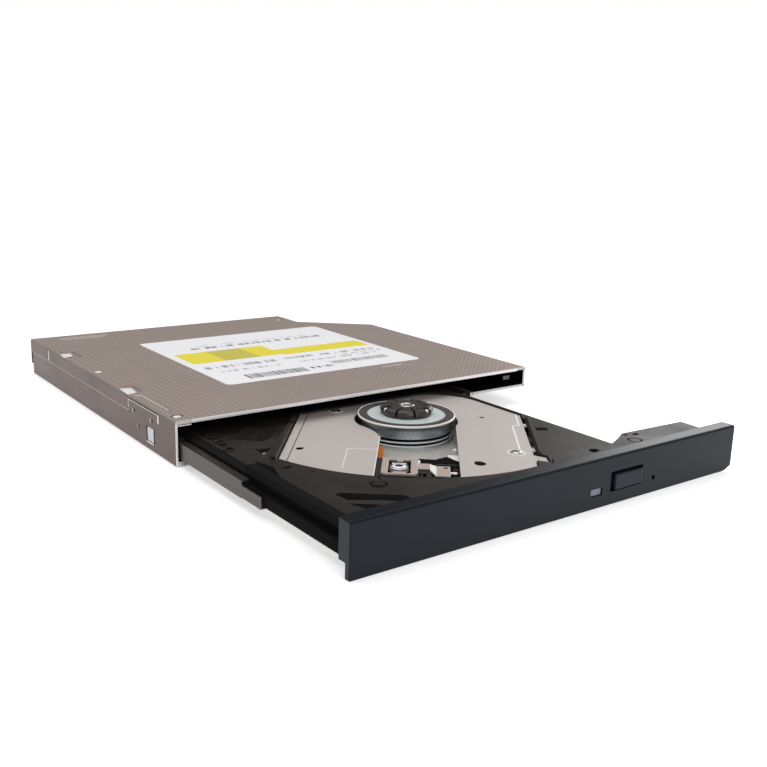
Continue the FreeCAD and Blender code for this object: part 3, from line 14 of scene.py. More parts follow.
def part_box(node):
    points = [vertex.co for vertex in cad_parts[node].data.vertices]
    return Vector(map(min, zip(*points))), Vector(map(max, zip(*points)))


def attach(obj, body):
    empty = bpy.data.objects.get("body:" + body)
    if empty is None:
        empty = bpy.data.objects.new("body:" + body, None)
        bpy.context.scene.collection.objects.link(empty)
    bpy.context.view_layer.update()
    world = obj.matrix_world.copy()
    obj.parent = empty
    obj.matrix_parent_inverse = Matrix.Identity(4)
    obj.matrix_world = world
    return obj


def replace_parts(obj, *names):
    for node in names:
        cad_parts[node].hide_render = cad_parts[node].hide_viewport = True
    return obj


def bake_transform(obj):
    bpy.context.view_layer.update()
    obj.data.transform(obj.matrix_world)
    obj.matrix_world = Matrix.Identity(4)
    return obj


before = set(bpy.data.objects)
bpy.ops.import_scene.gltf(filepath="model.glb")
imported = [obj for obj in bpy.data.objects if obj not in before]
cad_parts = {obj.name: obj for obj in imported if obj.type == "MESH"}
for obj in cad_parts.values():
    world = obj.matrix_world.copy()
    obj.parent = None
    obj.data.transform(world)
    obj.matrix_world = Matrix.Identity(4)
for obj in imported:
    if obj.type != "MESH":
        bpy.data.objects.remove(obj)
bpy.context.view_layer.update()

mm = 0.001
weld_distance = 0.001 * mm
sharp_from = math.radians(40)

# Places that the photograph and the frame give
cover_low, cover_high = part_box("top_cover")
plate_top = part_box("traverse_cover")[1].z / mm
floor_top = 7.4
tray_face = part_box("front_bezel")[0].y / mm
spindle_x, spindle_y = 2.0, -77.0
feed_angle = math.radians(231)
feed = (math.cos(feed_angle), math.sin(feed_angle))


def on_traverse(u, v):
    """X and Y, in millimetres, of a point u along the pickup's travel and v to its left."""
    return spindle_x + u * feed[0] - v * feed[1], spindle_y + u * feed[1] + v * feed[0]


def on_tray(x, depth):
    """X and Y, in millimetres, of a point that lies some depth behind the bezel's face."""
    return x, tray_face + depth


# Nodes and colours

def linear(text):
    """A colour written as sRGB hex, as the linear values that a shader takes."""
    shares = [int(text[start:start + 2], 16) / 255 for start in (1, 3, 5)]
    return [share / 12.92 if share <= 0.04045 else ((share + 0.055) / 1.055) ** 2.4
            for share in shares] + [1.0]


def wire(tree, node, inputs):
    """Sets a node's inputs, given by name or number, or links them to other nodes' outputs."""
    for socket, value in inputs.items():
        if isinstance(value, bpy.types.NodeSocket):
            tree.links.new(value, node.inputs[socket])
        else:
            node.inputs[socket].default_value = linear(value) if isinstance(value, str) else value


def add(tree, kind, inputs=(), out=0, **settings):
    """Adds one node with its settings and links, and returns one of its outputs.

    A list of inputs fills the sockets in their order.
    """
    made = tree.nodes.new("ShaderNode" + kind)
    for name, value in settings.items():
        setattr(made, name, value)
    wire(tree, made, inputs if isinstance(inputs, dict) else dict(enumerate(inputs)))
    return made.outputs[out] if len(made.outputs) else None


# Settings of a Mix node that mixes colours: its inputs are 0 the share, 6 and 7 the two colours
hues = {"data_type": "RGBA", "out": 2}
# Most of a noise lies between these two values
usual = (0.3, 0.7)


def new_finish(name, colour, roughness, metallic=0.0, **settings):
    """A material with one Principled shader; returns it with its tree, shader and place in space."""
    made = bpy.data.materials.new(name)
    made.use_nodes = True
    tree = made.node_tree
    shader = tree.nodes["Principled BSDF"]
    wire(tree, shader, {"Base Color": colour, "Roughness": roughness, "Metallic": metallic})
    wire(tree, shader, {words.replace("_", " "): value for words, value in settings.items()})
    return made, tree, shader, add(tree, "TexCoord", out="Object")


def noise(tree, place, size, detail=3.0, stretch=(1, 1, 1)):
    """Cloudy pattern whose blobs are about size across, drawn out by stretch."""
    drawn = add(tree, "Mapping", {"Vector": place, "Scale": [1 / share for share in stretch]})
    return add(tree, "TexNoise", {"Vector": drawn, "Scale": 1 / size, "Detail": detail})


def mottled(tree, place, size, dark, light, detail=3.0):
    """Colour that wanders between two, in clouds about size across."""
    clouds = noise(tree, place, size, detail)
    return add(tree, "Mix", {0: clouds, 6: dark, 7: light}, **hues)


def grained(tree, height, depth, strength, edge=None):
    """Normal with bumps of a real depth; edge is the radius by which it rounds sharp edges."""
    inputs = {"Height": height, "Distance": depth, "Strength": strength}
    if edge:
        inputs["Normal"] = add(tree, "Bevel", {"Radius": edge}, samples=6)
    return add(tree, "Bump", inputs)


def edge_share(tree, radius):
    """1 along sharp edges and 0 on the flats, for a painted highlight along the edges, which on cut edges is
    partly the bare metal.
    """
    rounded = add(tree, "Bevel", {"Radius": radius}, samples=6)
    plain = add(tree, "NewGeometry", out="Normal")
    along = add(tree, "VectorMath", [rounded, plain], out="Value", operation="DOT_PRODUCT")
    edge_cosine, flat_cosine = 0.8, 0.97
    return add(tree, "MapRange", [along, edge_cosine, flat_cosine, 1, 0])


def cells(tree, place, pitch, turn=0.0, shift=(0, 0, 0)):
    """Distance to the nearest point of a square grid seen from above, in pitches, as shift is."""
    grid = add(tree, "Mapping", [place, shift, (0, 0, turn), (1 / pitch, 1 / pitch, 0)])
    return add(tree, "TexVoronoi", {"Vector": grid, "Scale": 1.0, "Randomness": 0.0},
               voronoi_dimensions="2D")


# Metals

def zinc_coated_steel(name="zinc_coated_steel", colour="#8f827b", dark="#80736c", dots=False):
    """Cold-rolled sheet with a zinc coat: warm grey, satin, faint streaks of the rolling, walls painted
    darker and browner as shade, and edges painted bright, partly as the bare cut metal and partly as a
    highlight."""
    made, tree, shader, place = new_finish(name, colour, 0.4, 0.3)
    streaks = noise(tree, place, 0.5 * mm, 2.0, (1, 60, 1))
    clouds = noise(tree, place, 14 * mm, 2.0)
    both = add(tree, "Mix", {0: 0.5, 2: streaks, 3: clouds})
    strong = add(tree, "MapRange", [both, 0.35, 0.65, 0, 1])
    top_coat = add(tree, "Mix", {0: strong, 6: dark, 7: colour}, **hues)
    parts = add(tree, "SeparateXYZ", [place]).node.outputs
    # Painted shade: the walls, below the top, are painted darker and browner than the top
    wall = add(tree, "Math", [parts["Z"], cover_high.z - 0.35 * mm], operation="LESS_THAN")
    wall_shade_coat = add(tree, "Mix", {0: both, 6: "#55423b", 7: "#6b564e"}, **hues)
    coat = add(tree, "Mix", {0: wall, 6: top_coat, 7: wall_shade_coat}, **hues)
    # Painted highlight: the front face and the sharp edges are painted nearly white, partly as the bare cut
    # metal
    cut = add(tree, "Math", [parts["Y"], cover_low.y + 0.04 * mm], operation="LESS_THAN")
    edge_highlight = add(tree, "Math", [edge_share(tree, 0.12 * mm), 0.5], operation="MULTIPLY")
    bright = add(tree, "Math", [cut, edge_highlight], operation="MAXIMUM")
    normal = grained(tree, noise(tree, place, 0.35 * mm), 0.004 * mm, 0.5, 0.12 * mm)
    if dots:
        # Dots pressed 2 mm apart, in rows along and across the cover, and lighter than the coat round them
        grid = cells(tree, place, 2 * mm, shift=(0.22, 0.05, 0))
        dome = add(tree, "MapRange", [grid, 0.12, 0.27, 1, 0])
        on_top = add(tree, "Math", [parts["Z"], cover_high.z - 0.05 * mm], operation="GREATER_THAN")
        shown = add(tree, "Math", [dome, on_top], operation="MULTIPLY")
        faint = add(tree, "Math", [shown, 0.5], operation="MULTIPLY")
        coat = add(tree, "Mix", {0: faint, 6: coat, 7: "#d9d0ca"}, **hues)
        normal = add(tree, "Bump", {"Height": shown, "Distance": 0.09 * mm, "Strength": 0.9,
                                    "Normal": normal})
    wire(tree, shader, {"Base Color": add(tree, "Mix", {0: bright, 6: coat, 7: "#efecea"}, **hues),
                        "Roughness": add(tree, "MapRange", [both, *usual, 0.46, 0.36]),
                        "Normal": normal})
    return made


def bright_steel():
    """Nickel-plated and ground steel: screws, rods, shafts."""
    made, tree, shader, place = new_finish("nickel_plated_steel", "#d2d0cc", 0.24, 1.0)
    wire(tree, shader, {
        "Roughness": add(tree, "MapRange", [noise(tree, place, 0.6 * mm), *usual, 0.22, 0.34]),
        "Normal": grained(tree, noise(tree, place, 0.3 * mm), 0.001 * mm, 0.2, 0.06 * mm)})
    return made


def cut_metal_and_highlight(name="bare_metal_and_painted_highlight", colour="#fdfcfb"):
    """Nearly white, smooth: bare cut edges of the sheets, and painted highlights on pressed edges, bends,
    rims and screw heads.
    """
    made, tree, shader, place = new_finish(name, colour, 0.3, 0.15)
    wire(tree, shader, {
        "Roughness": add(tree, "MapRange", [noise(tree, place, 0.2 * mm), *usual, 0.27, 0.34])})
    return made


def rail_steel():
    """Stainless strip of the slide rails, dull along its flats, with edges painted light as a highlight."""
    made, tree, shader, place = new_finish("stainless_rail", "#746b68", 0.34, 0.6)
    streaks = noise(tree, place, 0.25 * mm, 2.0, (1, 120, 1))
    coat = add(tree, "Mix", {0: streaks, 6: "#3a3431", 7: "#585049"}, **hues)
    # Painted highlight along the edges
    wire(tree, shader, {
        "Base Color": add(tree, "Mix", {0: edge_share(tree, 0.12 * mm), 6: coat, 7: "#c9c5c2"}, **hues),
        "Normal": grained(tree, streaks, 0.003 * mm, 0.6, 0.1 * mm)})
    return made


def coated_plate(name="grey_coated_plate", colour="#c8bfba", dark="#bdb4af", fold=True):
    """Pre-coated sheet: light warm grey, satin, with the faint weave of its roller coating, a thin dark line
    of painted shade in the fold at the left, and edges painted bright, partly as the bare cut metal and
    partly as a highlight."""
    made, tree, shader, place = new_finish(name, colour, 0.45, 0.12)
    dot = add(tree, "MapRange", [cells(tree, place, 0.9 * mm, turn=feed_angle), 0.1, 0.45, 1, 0])
    clouds = noise(tree, place, 9 * mm, 2.0)
    share = add(tree, "Mix", {0: 0.55, 2: dot, 3: clouds})
    coat = add(tree, "Mix", {0: share, 6: dark, 7: colour}, **hues)
    if fold:
        # Painted shade: a thin dark line in the crease of the fold
        fold_v, fold_half_width = -29.1, 0.14 * mm
        across = add(tree, "VectorMath", [place, (-feed[1], feed[0], 0)], out="Value",
                     operation="DOT_PRODUCT")
        fold_line = (fold_v - spindle_x * feed[1] + spindle_y * feed[0]) * mm
        near = add(tree, "Math", [across, fold_line, fold_half_width], operation="COMPARE")
        coat = add(tree, "Mix", {0: near, 6: coat, 7: "#4d4845"}, **hues)
    # Painted highlight along the edges, partly the bare cut metal
    bright = add(tree, "Math", [edge_share(tree, 0.16 * mm), 0.85], operation="MULTIPLY")
    wire(tree, shader, {"Base Color": add(tree, "Mix", {0: bright, 6: coat, 7: "#fbfafa"}, **hues),
                        "Roughness": add(tree, "MapRange", [clouds, *usual, 0.5, 0.4]),
                        "Normal": grained(tree, dot, 0.012 * mm, 0.35, 0.1 * mm)})
    return made


def cast_alloy():
    """Die-cast zinc alloy: light grey, matt, faintly grainy."""
    made, tree, shader, place = new_finish("die_cast_alloy", "#b2afaa", 0.5, 0.4)
    wire(tree, shader, {"Base Color": mottled(tree, place, 1.2 * mm, "#a8a6a1", "#cac8c3"),
                        "Normal": grained(tree, noise(tree, place, 0.15 * mm), 0.01 * mm, 0.6, 0.15 * mm)})
    return made


def blackened_alloy():
    """Die-cast alloy under a black coat, as on the pickup's carriage."""
    made, tree, shader, place = new_finish("blackened_die_cast", "#262422", 0.42, 0.2)
    wire(tree, shader, {"Base Color": mottled(tree, place, 0.8 * mm, "#1c1a19", "#34312f"),
                        "Normal": grained(tree, noise(tree, place, 0.15 * mm), 0.01 * mm, 0.6, 0.1 * mm)})
    return made


def motor_steel():
    """Plated rotor can: blue-grey, polished, turned marks round the spindle."""
    made, tree, shader, place = new_finish("plated_rotor_steel", "#a5b0b5", 0.3, 0.8)
    height = add(tree, "SeparateXYZ", [place], out="Z")
    in_mm = add(tree, "Math", [height, 1 / mm], operation="MULTIPLY")
    bands = add(tree, "TexNoise", {"W": in_mm, "Scale": 6.0, "Detail": 2.0}, noise_dimensions="1D")
    # A can this bright mirrors the dark tray round it: at its shoulder and towards its sides
    shoulder = add(tree, "MapRange", [height, 6.9 * mm, 7.7 * mm, 0, 0.65])
    facing = add(tree, "LayerWeight", {"Blend": 0.5}, out="Facing")
    aside = add(tree, "MapRange", [facing, 0.35, 0.85, 0, 0.9])
    coat = add(tree, "Mix", {0: bands, 6: "#a3b0b6", 7: "#ccd6da"}, **hues)
    coat = add(tree, "Mix", {0: shoulder, 6: coat, 7: "#2c3336"}, **hues)
    wire(tree, shader, {"Base Color": add(tree, "Mix", {0: aside, 6: coat, 7: "#14181a"}, **hues),
                        "Roughness": add(tree, "MapRange", [bands, *usual, 0.2, 0.36]),
                        "Normal": grained(tree, bands, 0.004 * mm, 0.4, 0.12 * mm)})
    return made


def copper_winding():
    """Enamelled copper wire and laminated iron of the stator."""
    made, tree, shader, place = new_finish("enamelled_copper", "#b4622c", 0.35, 0.8)
    wire(tree, shader, {"Base Color": mottled(tree, place, 0.5 * mm, "#7c3f1c", "#c87638"),
                        "Normal": grained(tree, noise(tree, place, 0.3 * mm), 0.05 * mm, 0.8)})
    return made


def brass():
    """Gilt brass of contacts and cans: warm and polished."""
    made, tree, shader, place = new_finish("gilt_brass", "#b08f68", 0.25, 1.0)
    wire(tree, shader, {
        "Roughness": add(tree, "MapRange", [noise(tree, place, 0.5 * mm), *usual, 0.2, 0.35])})
    return made


def magnet():
    """Nickel-plated sintered magnet: dull silver."""
    made, tree, shader, place = new_finish("plated_magnet", "#8f9094", 0.36, 0.9)
    wire(tree, shader, {"Normal": grained(tree, noise(tree, place, 0.2 * mm), 0.01 * mm, 0.5, 0.1 * mm)})
    return made


# Plastics, rubber and films

def tray_plastic():
    """Moulded black polycarbonate with glass fibre: satin, with a faint brown sheen."""
    made, tree, shader, place = new_finish("black_filled_polycarbonate", "#2a2523", 0.42,
                                           Specular_IOR_Level=0.2)
    flow = noise(tree, place, 7 * mm, 3.0, (1, 2, 1))
    # The rim beside the left runner lies in shade: deep black, with no sheen
    rim_side = -57.2 * mm
    x = add(tree, "SeparateXYZ", [place], out="X")
    rim = add(tree, "Math", [x, rim_side], operation="LESS_THAN")
    skin = add(tree, "Mix", {0: flow, 6: "#221e1c", 7: "#332d2a"}, **hues)
    satin = add(tree, "MapRange", [flow, *usual, 0.38, 0.5])
    wire(tree, shader, {"Base Color": add(tree, "Mix", {0: rim, 6: skin, 7: "#040404"}, **hues),
                        "Roughness": add(tree, "Math", [rim, satin], operation="MAXIMUM"),
                        "Normal": grained(tree, noise(tree, place, 0.18 * mm), 0.012 * mm, 0.5, 0.12 * mm)})
    return made


def bezel_plastic(name="fine_spark_black_abs", colour="#0b0f13", light="#101519"):
    """Black ABS moulded in a spark-eroded tool: blue-black with a fine, even texture."""
    made, tree, shader, place = new_finish(name, colour, 0.34, Specular_IOR_Level=0.26,
                                           Specular_Tint="#d2dcf0")
    spark = noise(tree, place, 0.14 * mm, 4.0)
    wire(tree, shader, {"Base Color": mottled(tree, place, 20 * mm, colour, light),
                        "Roughness": add(tree, "MapRange", [spark, *usual, 0.3, 0.42]),
                        "Normal": grained(tree, spark, 0.01 * mm, 0.55, 0.18 * mm)})
    return made


def black_acetal(name="black_acetal", colour="#161414", light="#272322", roughness=0.32):
    """Low-friction black acetal of levers, claws and guides."""
    made, tree, shader, place = new_finish(name, colour, roughness, IOR=1.48)
    wire(tree, shader, {"Base Color": mottled(tree, place, 2 * mm, colour, light),
                        "Normal": grained(tree, noise(tree, place, 0.12 * mm), 0.006 * mm, 0.4, 0.1 * mm)})
    return made


def white_acetal():
    """Natural acetal of the nut and the screw's bracket: off-white, slightly waxy."""
    made, tree, shader, place = new_finish("white_acetal", "#e9e6df", 0.36, Subsurface_Weight=0.05)
    wire(tree, shader, {"Base Color": mottled(tree, place, 2 * mm, "#dcd9d1", "#efece6"),
                        "Normal": grained(tree, noise(tree, place, 0.12 * mm), 0.006 * mm, 0.4, 0.08 * mm)})
    return made


def turntable_finish():
    """Turntable: pale zinc-plated disc with a fine turned grain."""
    made, tree, shader, place = new_finish("zinc_plated_turntable", "#ccd5d7", 0.42, 0.2)
    centred = add(tree, "Mapping", {"Vector": place, "Scale": (1, 1, 0),
                                    "Location": (-spindle_x * mm, -spindle_y * mm, 0)})
    rings = add(tree, "TexWave", {"Vector": centred, "Scale": 700.0, "Distortion": 0.6, "Detail": 2.0},
                out="Fac", wave_type="RINGS", rings_direction="Z")
    wire(tree, shader, {"Base Color": add(tree, "Mix", {0: rings, 6: "#c6cfd1", 7: "#d9e0e1"}, **hues),
                        "Normal": grained(tree, rings, 0.004 * mm, 0.4, 0.1 * mm)})
    return made


def moulded_rubber():
    """Soft rubber ring: dark brown-grey, matt, dusted."""
    made, tree, shader, place = new_finish("moulded_rubber", "#3a332f", 0.75)
    wire(tree, shader, {"Base Color": mottled(tree, place, 0.6 * mm, "#2a2522", "#4a423d", 5.0),
                        "Normal": grained(tree, noise(tree, place, 0.25 * mm, 4.0), 0.03 * mm, 0.6)})
    return made


def solder_resist():
    """Glass-epoxy board under green resist: glossy, with copper tracks showing through."""
    made, tree, shader, place = new_finish("green_solder_resist", "#14402a", 0.3, IOR=1.5)
    tracks = add(tree, "TexBrick", {"Vector": place, "Scale": 1 / (9 * mm), "Mortar Size": 0.03,
                                    "Color1": "#123b27", "Color2": "#174a30", "Mortar": "#2c6a45"},
                 offset=0.5)
    wire(tree, shader, {"Base Color": tracks,
                        "Normal": grained(tree, tracks.node.outputs["Fac"], 0.02 * mm, 0.4)})
    return made


def chip_plastic():
    """Moulding compound of chips and connectors: charcoal, matt."""
    made, tree, shader, place = new_finish("epoxy_moulding_compound", "#1d1d1f", 0.55)
    grain = noise(tree, place, 0.12 * mm, 4.0)
    wire(tree, shader, {"Normal": grained(tree, grain, 0.012 * mm, 0.6, 0.05 * mm)})
    return made


def kapton():
    """Polyimide film over copper: orange, glossy, seen against the light."""
    made, tree, shader, place = new_finish("polyimide_film", "#c46a12", 0.22, 0.15, IOR=1.6)
    wire(tree, shader, {"Base Color": mottled(tree, place, 3 * mm, "#a8520b", "#d98422")})
    return made


def white_film():
    """Polyester flat cable with its tinned conductors showing as fine lines."""
    made, tree, shader, place = new_finish("polyester_flat_cable", "#e4e7ec", 0.3)
    x = add(tree, "SeparateXYZ", [place], out="X")
    wires = add(tree, "Math", [x, 0.25 * mm], operation="PINGPONG")
    between = add(tree, "MapRange", [wires, 0.08 * mm, 0.14 * mm, 0, 1])
    film = add(tree, "Mix", {0: between, 6: "#aeb4bd", 7: "#e9ecf0"}, **hues)
    wire(tree, shader, {"Base Color": film})
    return made


def clear_plastic():
    """Frosted light pipe: pale blue-white, translucent."""
    made, tree, shader, place = new_finish("frosted_polycarbonate", "#8d96a9", 0.3,
                                           IOR=1.58, Transmission_Weight=0.35)
    wire(tree, shader, {"Normal": grained(tree, noise(tree, place, 0.15 * mm), 0.01 * mm, 0.4)})
    return made


def lens_glass():
    """Moulded objective with its anti-reflection coat: violet-blue sheen."""
    made, tree, shader, place = new_finish("coated_lens", "#3c4268", 0.05, IOR=1.6,
                                           Transmission_Weight=0.2, Coat_Weight=0.4, Coat_Tint="#8f96c8")
    wire(tree, shader, {"Base Color": mottled(tree, place, 2 * mm, "#2e3459", "#555b86")})
    return made


def painted_shade_sheet():
    """Matt black sheet with almost no sheen: painted shade, laid where holes, slots, gaps and the inside of
    the case show only shadow.
    """
    made, tree, shader, place = new_finish("painted_shade_black", "#050506", 0.85,
                                           Specular_IOR_Level=0.06)
    wire(tree, shader, {"Base Color": mottled(tree, place, 6 * mm, "#030303", "#080808")})
    return made


def label_paper():
    """White printed film: a plain yellow band in two widths, and rows of dashes that say nothing."""
    made, tree, shader, place = new_finish("printed_label_film", "#e9e8e6", 0.35)
    parts = add(tree, "SeparateXYZ", [place]).node.outputs

    def inside(x_from, x_to, y_from, y_to):
        """1 inside a rectangle given in millimetres, 0 outside."""
        share = 1.0
        for axis, operation, bound in (("X", "GREATER_THAN", x_from), ("X", "LESS_THAN", x_to),
                                       ("Y", "GREATER_THAN", y_from), ("Y", "LESS_THAN", y_to)):
            within = add(tree, "Math", [parts[axis], bound * mm], operation=operation)
            share = add(tree, "Math", [share, within], operation="MULTIPLY")
        return share

    def dashes(x_from, x_to, y_from, y_to, length, share):
        """A row of plain dashes of uneven length, as a share of full grey."""
        along = add(tree, "Math", [parts["X"], y_from * mm], operation="ADD")
        run = add(tree, "TexNoise", {"W": along, "Scale": 1 / (length * mm), "Detail": 1.0},
                  noise_dimensions="1D")
        ink = add(tree, "MapRange", [run, 0.46, 0.52, 0, share])
        return add(tree, "Math", [ink, inside(x_from, x_to, y_from, y_to)], operation="MULTIPLY")

    band = add(tree, "Math", [inside(-31, 3, -4.5, 11.6), inside(3, 39, -6, 3)], operation="MAXIMUM")
    # The band is a duller yellow in its middle
    duller_middle_band = add(tree, "Mix", {0: inside(-19, -6, -4.5, 11.6), 6: "#f2e34a", 7: "#d3c75c"}, **hues)
    sheet = add(tree, "Mix", {0: band, 6: "#fafafd", 7: duller_middle_band}, **hues)
    printed = 0.0
    for row in ((-22, 32, 16.2, 18.8, 2.2, 0.75), (-18, 28, 20.5, 21.6, 3.5, 0.4),
                (-32, -4, -13.6, -10.4, 2.0, 0.6), (-2, 12, -12.4, -10.2, 1.6, 0.8),
                (14, 37, -12.6, -10.6, 2.6, 0.65), (-24, -2, -31, -25.5, 0.5, 0.95),
                (0, 9, -29, -26.5, 1.2, 0.85), (10, 34, -26.5, -22.4, 0.5, 0.8),
                (-28, -6, -19.5, -17.4, 1.8, 0.45), (2, 34, -18.6, -17, 2.4, 0.5),
                (18, 38, -15.4, -14.2, 1.6, 0.55)):
        printed = add(tree, "Math", [printed, dashes(*row)], operation="MAXIMUM")
    wire(tree, shader, {"Base Color": add(tree, "Mix", {0: printed, 6: sheet, 7: "#4e4d51"}, **hues),
                        "Normal": grained(tree, noise(tree, place, 0.5 * mm), 0.004 * mm, 0.3)})
    return made


plated = bright_steel()
# Nearly white metal: bare cut edges, and painted highlights
bare_metal_and_highlight = cut_metal_and_highlight()
# Pale steel for painted highlights on the mouth's folded hems and the motor's bands
highlight_steel = cut_metal_and_highlight("painted_highlight_steel", "#d0d0d6")
tray_black = tray_plastic()
hub_acetal = black_acetal("brown_black_acetal", "#2b2624", "#3d3634", 0.36)
white = white_acetal()
flat_cable = white_film()
orange_film = kapton()
gilt = brass()
shade_sheet = painted_shade_sheet()
holder_grey = magnet()
pickup_sheet = coated_plate("pickup_plate", "#c2b1a8", "#ae9d94", fold=False)
finishes = {
    zinc_coated_steel(): ["bottom_case", "tray_bottom_cover"],
    zinc_coated_steel("zinc_coated_cover", "#ad9e95", "#9f9088", dots=True): ["top_cover"],
    rail_steel(): ["left_rail", "right_rail"],
    plated: ["cover_screws", "lock_post", "left_guide_rod", "right_guide_rod", "spindle_shaft",
             "lead_screw", "rod_clamps", "traverse_screws", "damper_screws",
             "bottom_cover_screws", "ejector_spring", "hub_cap", "disc_balls", "lock_plunger"],
    coated_plate(): ["traverse_cover"],
    pickup_sheet: ["pickup_cover", "spring_plate"],
    cast_alloy(): ["traverse_chassis"],
    blackened_alloy(): ["pickup_sled"],
    motor_steel(): ["rotor_cup", "feed_motor", "motor_bearing", "motor_base"],
    copper_winding(): ["motor_stator"],
    holder_grey: ["actuator_magnets"],
    gilt: ["laser_diode"],
    label_paper(): ["top_label"],
    tray_black: ["tray_body"],
    bezel_plastic(): ["front_bezel"],
    bezel_plastic("button_black_abs", "#14181d", "#1c2127"): ["eject_button"],
    black_acetal(): ["left_guide", "right_guide", "disc_hub", "lens_holder", "lock_lever", "ejector_rod"],
    white: ["lead_nut", "lead_screw_bracket"],
    turntable_finish(): ["turntable"],
    moulded_rubber(): ["turntable_rubber", "damper_rubbers"],
    solder_resist(): ["connector_board", "main_board", "switch_board"],
    chip_plastic(): ["board_chips", "sata_connector", "flex_connector", "eject_switch", "lock_solenoid"],
    orange_film: ["pickup_flex", "motor_flex"],
    flat_cable: ["flat_flex_cable"],
    clear_plastic(): ["led_light_pipe", "status_led"],
    lens_glass(): ["objective_lens"],
}
for finish, names in finishes.items():
    for name in names:
        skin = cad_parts[name].data.materials
        skin.clear()
        skin.append(finish)


# Shapes, in millimetres

def drawn_out(work, corners, shift):
    """Adds a flat face and draws it out into a body."""
    face = work.faces.new([work.verts.new([value * mm for value in corner]) for corner in corners])
    moved = bmesh.ops.extrude_face_region(work, geom=[face])["geom"]
    bmesh.ops.translate(work, verts=[item for item in moved if isinstance(item, bmesh.types.BMVert)],
                        vec=[value * mm for value in shift])


def slab(work, corners, low, high):
    """Adds a flat body over a closed outline, between two heights."""
    drawn_out(work, [(x, y, low) for x, y in corners], (0, 0, high - low))


def traverse_slab(work, corners, low, high):
    """Adds a flat body whose outline is given along the pickup's travel and to its left."""
    slab(work, [on_traverse(u, v) for u, v in corners], low, high)


def box(work, x_from, x_to, y_from, y_to, low, high):
    """Adds a box that lies along the axes."""
    slab(work, [(x_from, y_from), (x_to, y_from), (x_to, y_to), (x_from, y_to)], low, high)


def bar(work, start, end, width, low, high):
    """Adds a straight bar of one width along a line."""
    run = Vector(end) - Vector(start)
    side = Vector((-run.y, run.x)).normalized() * width / 2
    ends = [Vector(start) - side, Vector(end) - side, Vector(end) + side, Vector(start) + side]
    slab(work, [tuple(end) for end in ends], low, high)


def turned(work, profile, x, y, steps=48):
    """Adds a body of revolution about an upright line, from pairs of radius and height."""
    ring = [work.verts.new(((x + r) * mm, y * mm, z * mm)) for r, z in profile]
    wires = [work.edges.new(pair) for pair in zip(ring, ring[1:])]
    bmesh.ops.spin(work, geom=ring + wires, cent=(x * mm, y * mm, 0), axis=(0, 0, 1),
                   angle=math.tau, steps=steps, use_merge=True)
    bmesh.ops.remove_doubles(work, verts=work.verts, dist=weld_distance)


def softened(work, width, segments=2):
    """Rounds every sharp edge of a body by a small width."""
    least_turn = 0.6
    sharp = [edge for edge in work.edges if edge.is_manifold and edge.calc_face_angle(0) > least_turn]
    bmesh.ops.bevel(work, geom=sharp, offset=width * mm, offset_type="OFFSET", segments=segments,
                    profile=0.5, affect="EDGES", clamp_overlap=True, material=-1)


def stand_in(work):
    """An object for a passing use of a mesh."""
    bmesh.ops.recalc_face_normals(work, faces=work.faces)
    mesh = bpy.data.meshes.new("passing")
    work.to_mesh(mesh)
    work.free()
    made = bpy.data.objects.new("passing", mesh)
    bpy.context.scene.collection.objects.link(made)
    return made


def carved(work, tool):
    """The first body with the second one's room taken out of it."""
    body, cutter = stand_in(work), stand_in(tool)
    cut = body.modifiers.new("carve", "BOOLEAN")
    cut.object = cutter
    cut.operation = "DIFFERENCE"
    cut.solver = "EXACT"
    bpy.context.view_layer.update()
    result = bmesh.new()
    result.from_mesh(body.evaluated_get(bpy.context.evaluated_depsgraph_get()).to_mesh())
    for passing in (body, cutter):
        mesh = passing.data
        bpy.data.objects.remove(passing)
        bpy.data.meshes.remove(mesh)
    return result


def piece(name, work, finish, body, smooth=False, bent=None):
    """Makes the finished mesh an object in its place, riding on a body.

    bent, when given, names a second body and two places in it; these are not used: the piece is left
    unattached, its place baked into its mesh.
    """
    bmesh.ops.recalc_face_normals(work, faces=work.faces)
    mesh = bpy.data.meshes.new(name)
    work.to_mesh(mesh)
    work.free()
    mesh.materials.append(finish)
    if smooth:
        mesh.shade_smooth()
        mesh.set_sharp_from_angle(angle=sharp_from)
    made = bpy.data.objects.new(name, mesh)
    bpy.context.scene.collection.objects.link(made)
    if bent:
        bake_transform(made)
    else:
        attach(made, body)
    return made


# Screws with crossed slots, and the bright rims under the cover's two

def screws(places, radius, low, top, shank, foot):
    """Screws with domed heads and crossed slots, on their shanks."""
    slot_width, slot_floor, clear = 0.34, top - 0.22, top + 1
    reach = radius * 0.58
    heads = bmesh.new()
    for x, y in places:
        turned(heads, [(0, top), (radius * 0.55, top - 0.02), (radius * 0.86, top - 0.1),
                       (radius, top - 0.24), (radius, low), (shank, low), (shank, foot), (0, foot)], x, y)
    for along, across in ((reach, 0), (0, reach)):
        tool = bmesh.new()
        for x, y in places:
            bar(tool, (x - along, y - across), (x + along, y + across), slot_width, slot_floor, clear)
        heads = carved(heads, tool)
    return heads


case_top = cover_high.z / mm
front = cover_low.y / mm
lid_places = ((-61.4, -58.5), (35.5, 54.5))
lid_screws = screws(lid_places, 1.45, case_top - 0.3, case_top, 0.68, case_top - 2.05)
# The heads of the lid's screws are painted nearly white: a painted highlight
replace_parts(piece("lid_screws", lid_screws, bare_metal_and_highlight, "housing", True), "cover_screws")
work = bmesh.new()
for x, y in lid_places:
    turned(work, [(1.3, case_top - 0.05), (1.3, case_top + 0.03), (1.62, case_top + 0.03),
                  (1.72, case_top - 0.05), (1.3, case_top - 0.05)], x, y, 40)
piece("screw_rims", work, gilt, "housing", True)

left_screw, right_screw = on_traverse(-6.0, -21.2), on_traverse(27.5, 29.7)
plate_screws = screws((left_screw, right_screw), 1.5, plate_top, plate_top + 0.5, 0.6, plate_top - 2)
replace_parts(piece("plate_screws", plate_screws, plated, "tray", True), "traverse_screws")

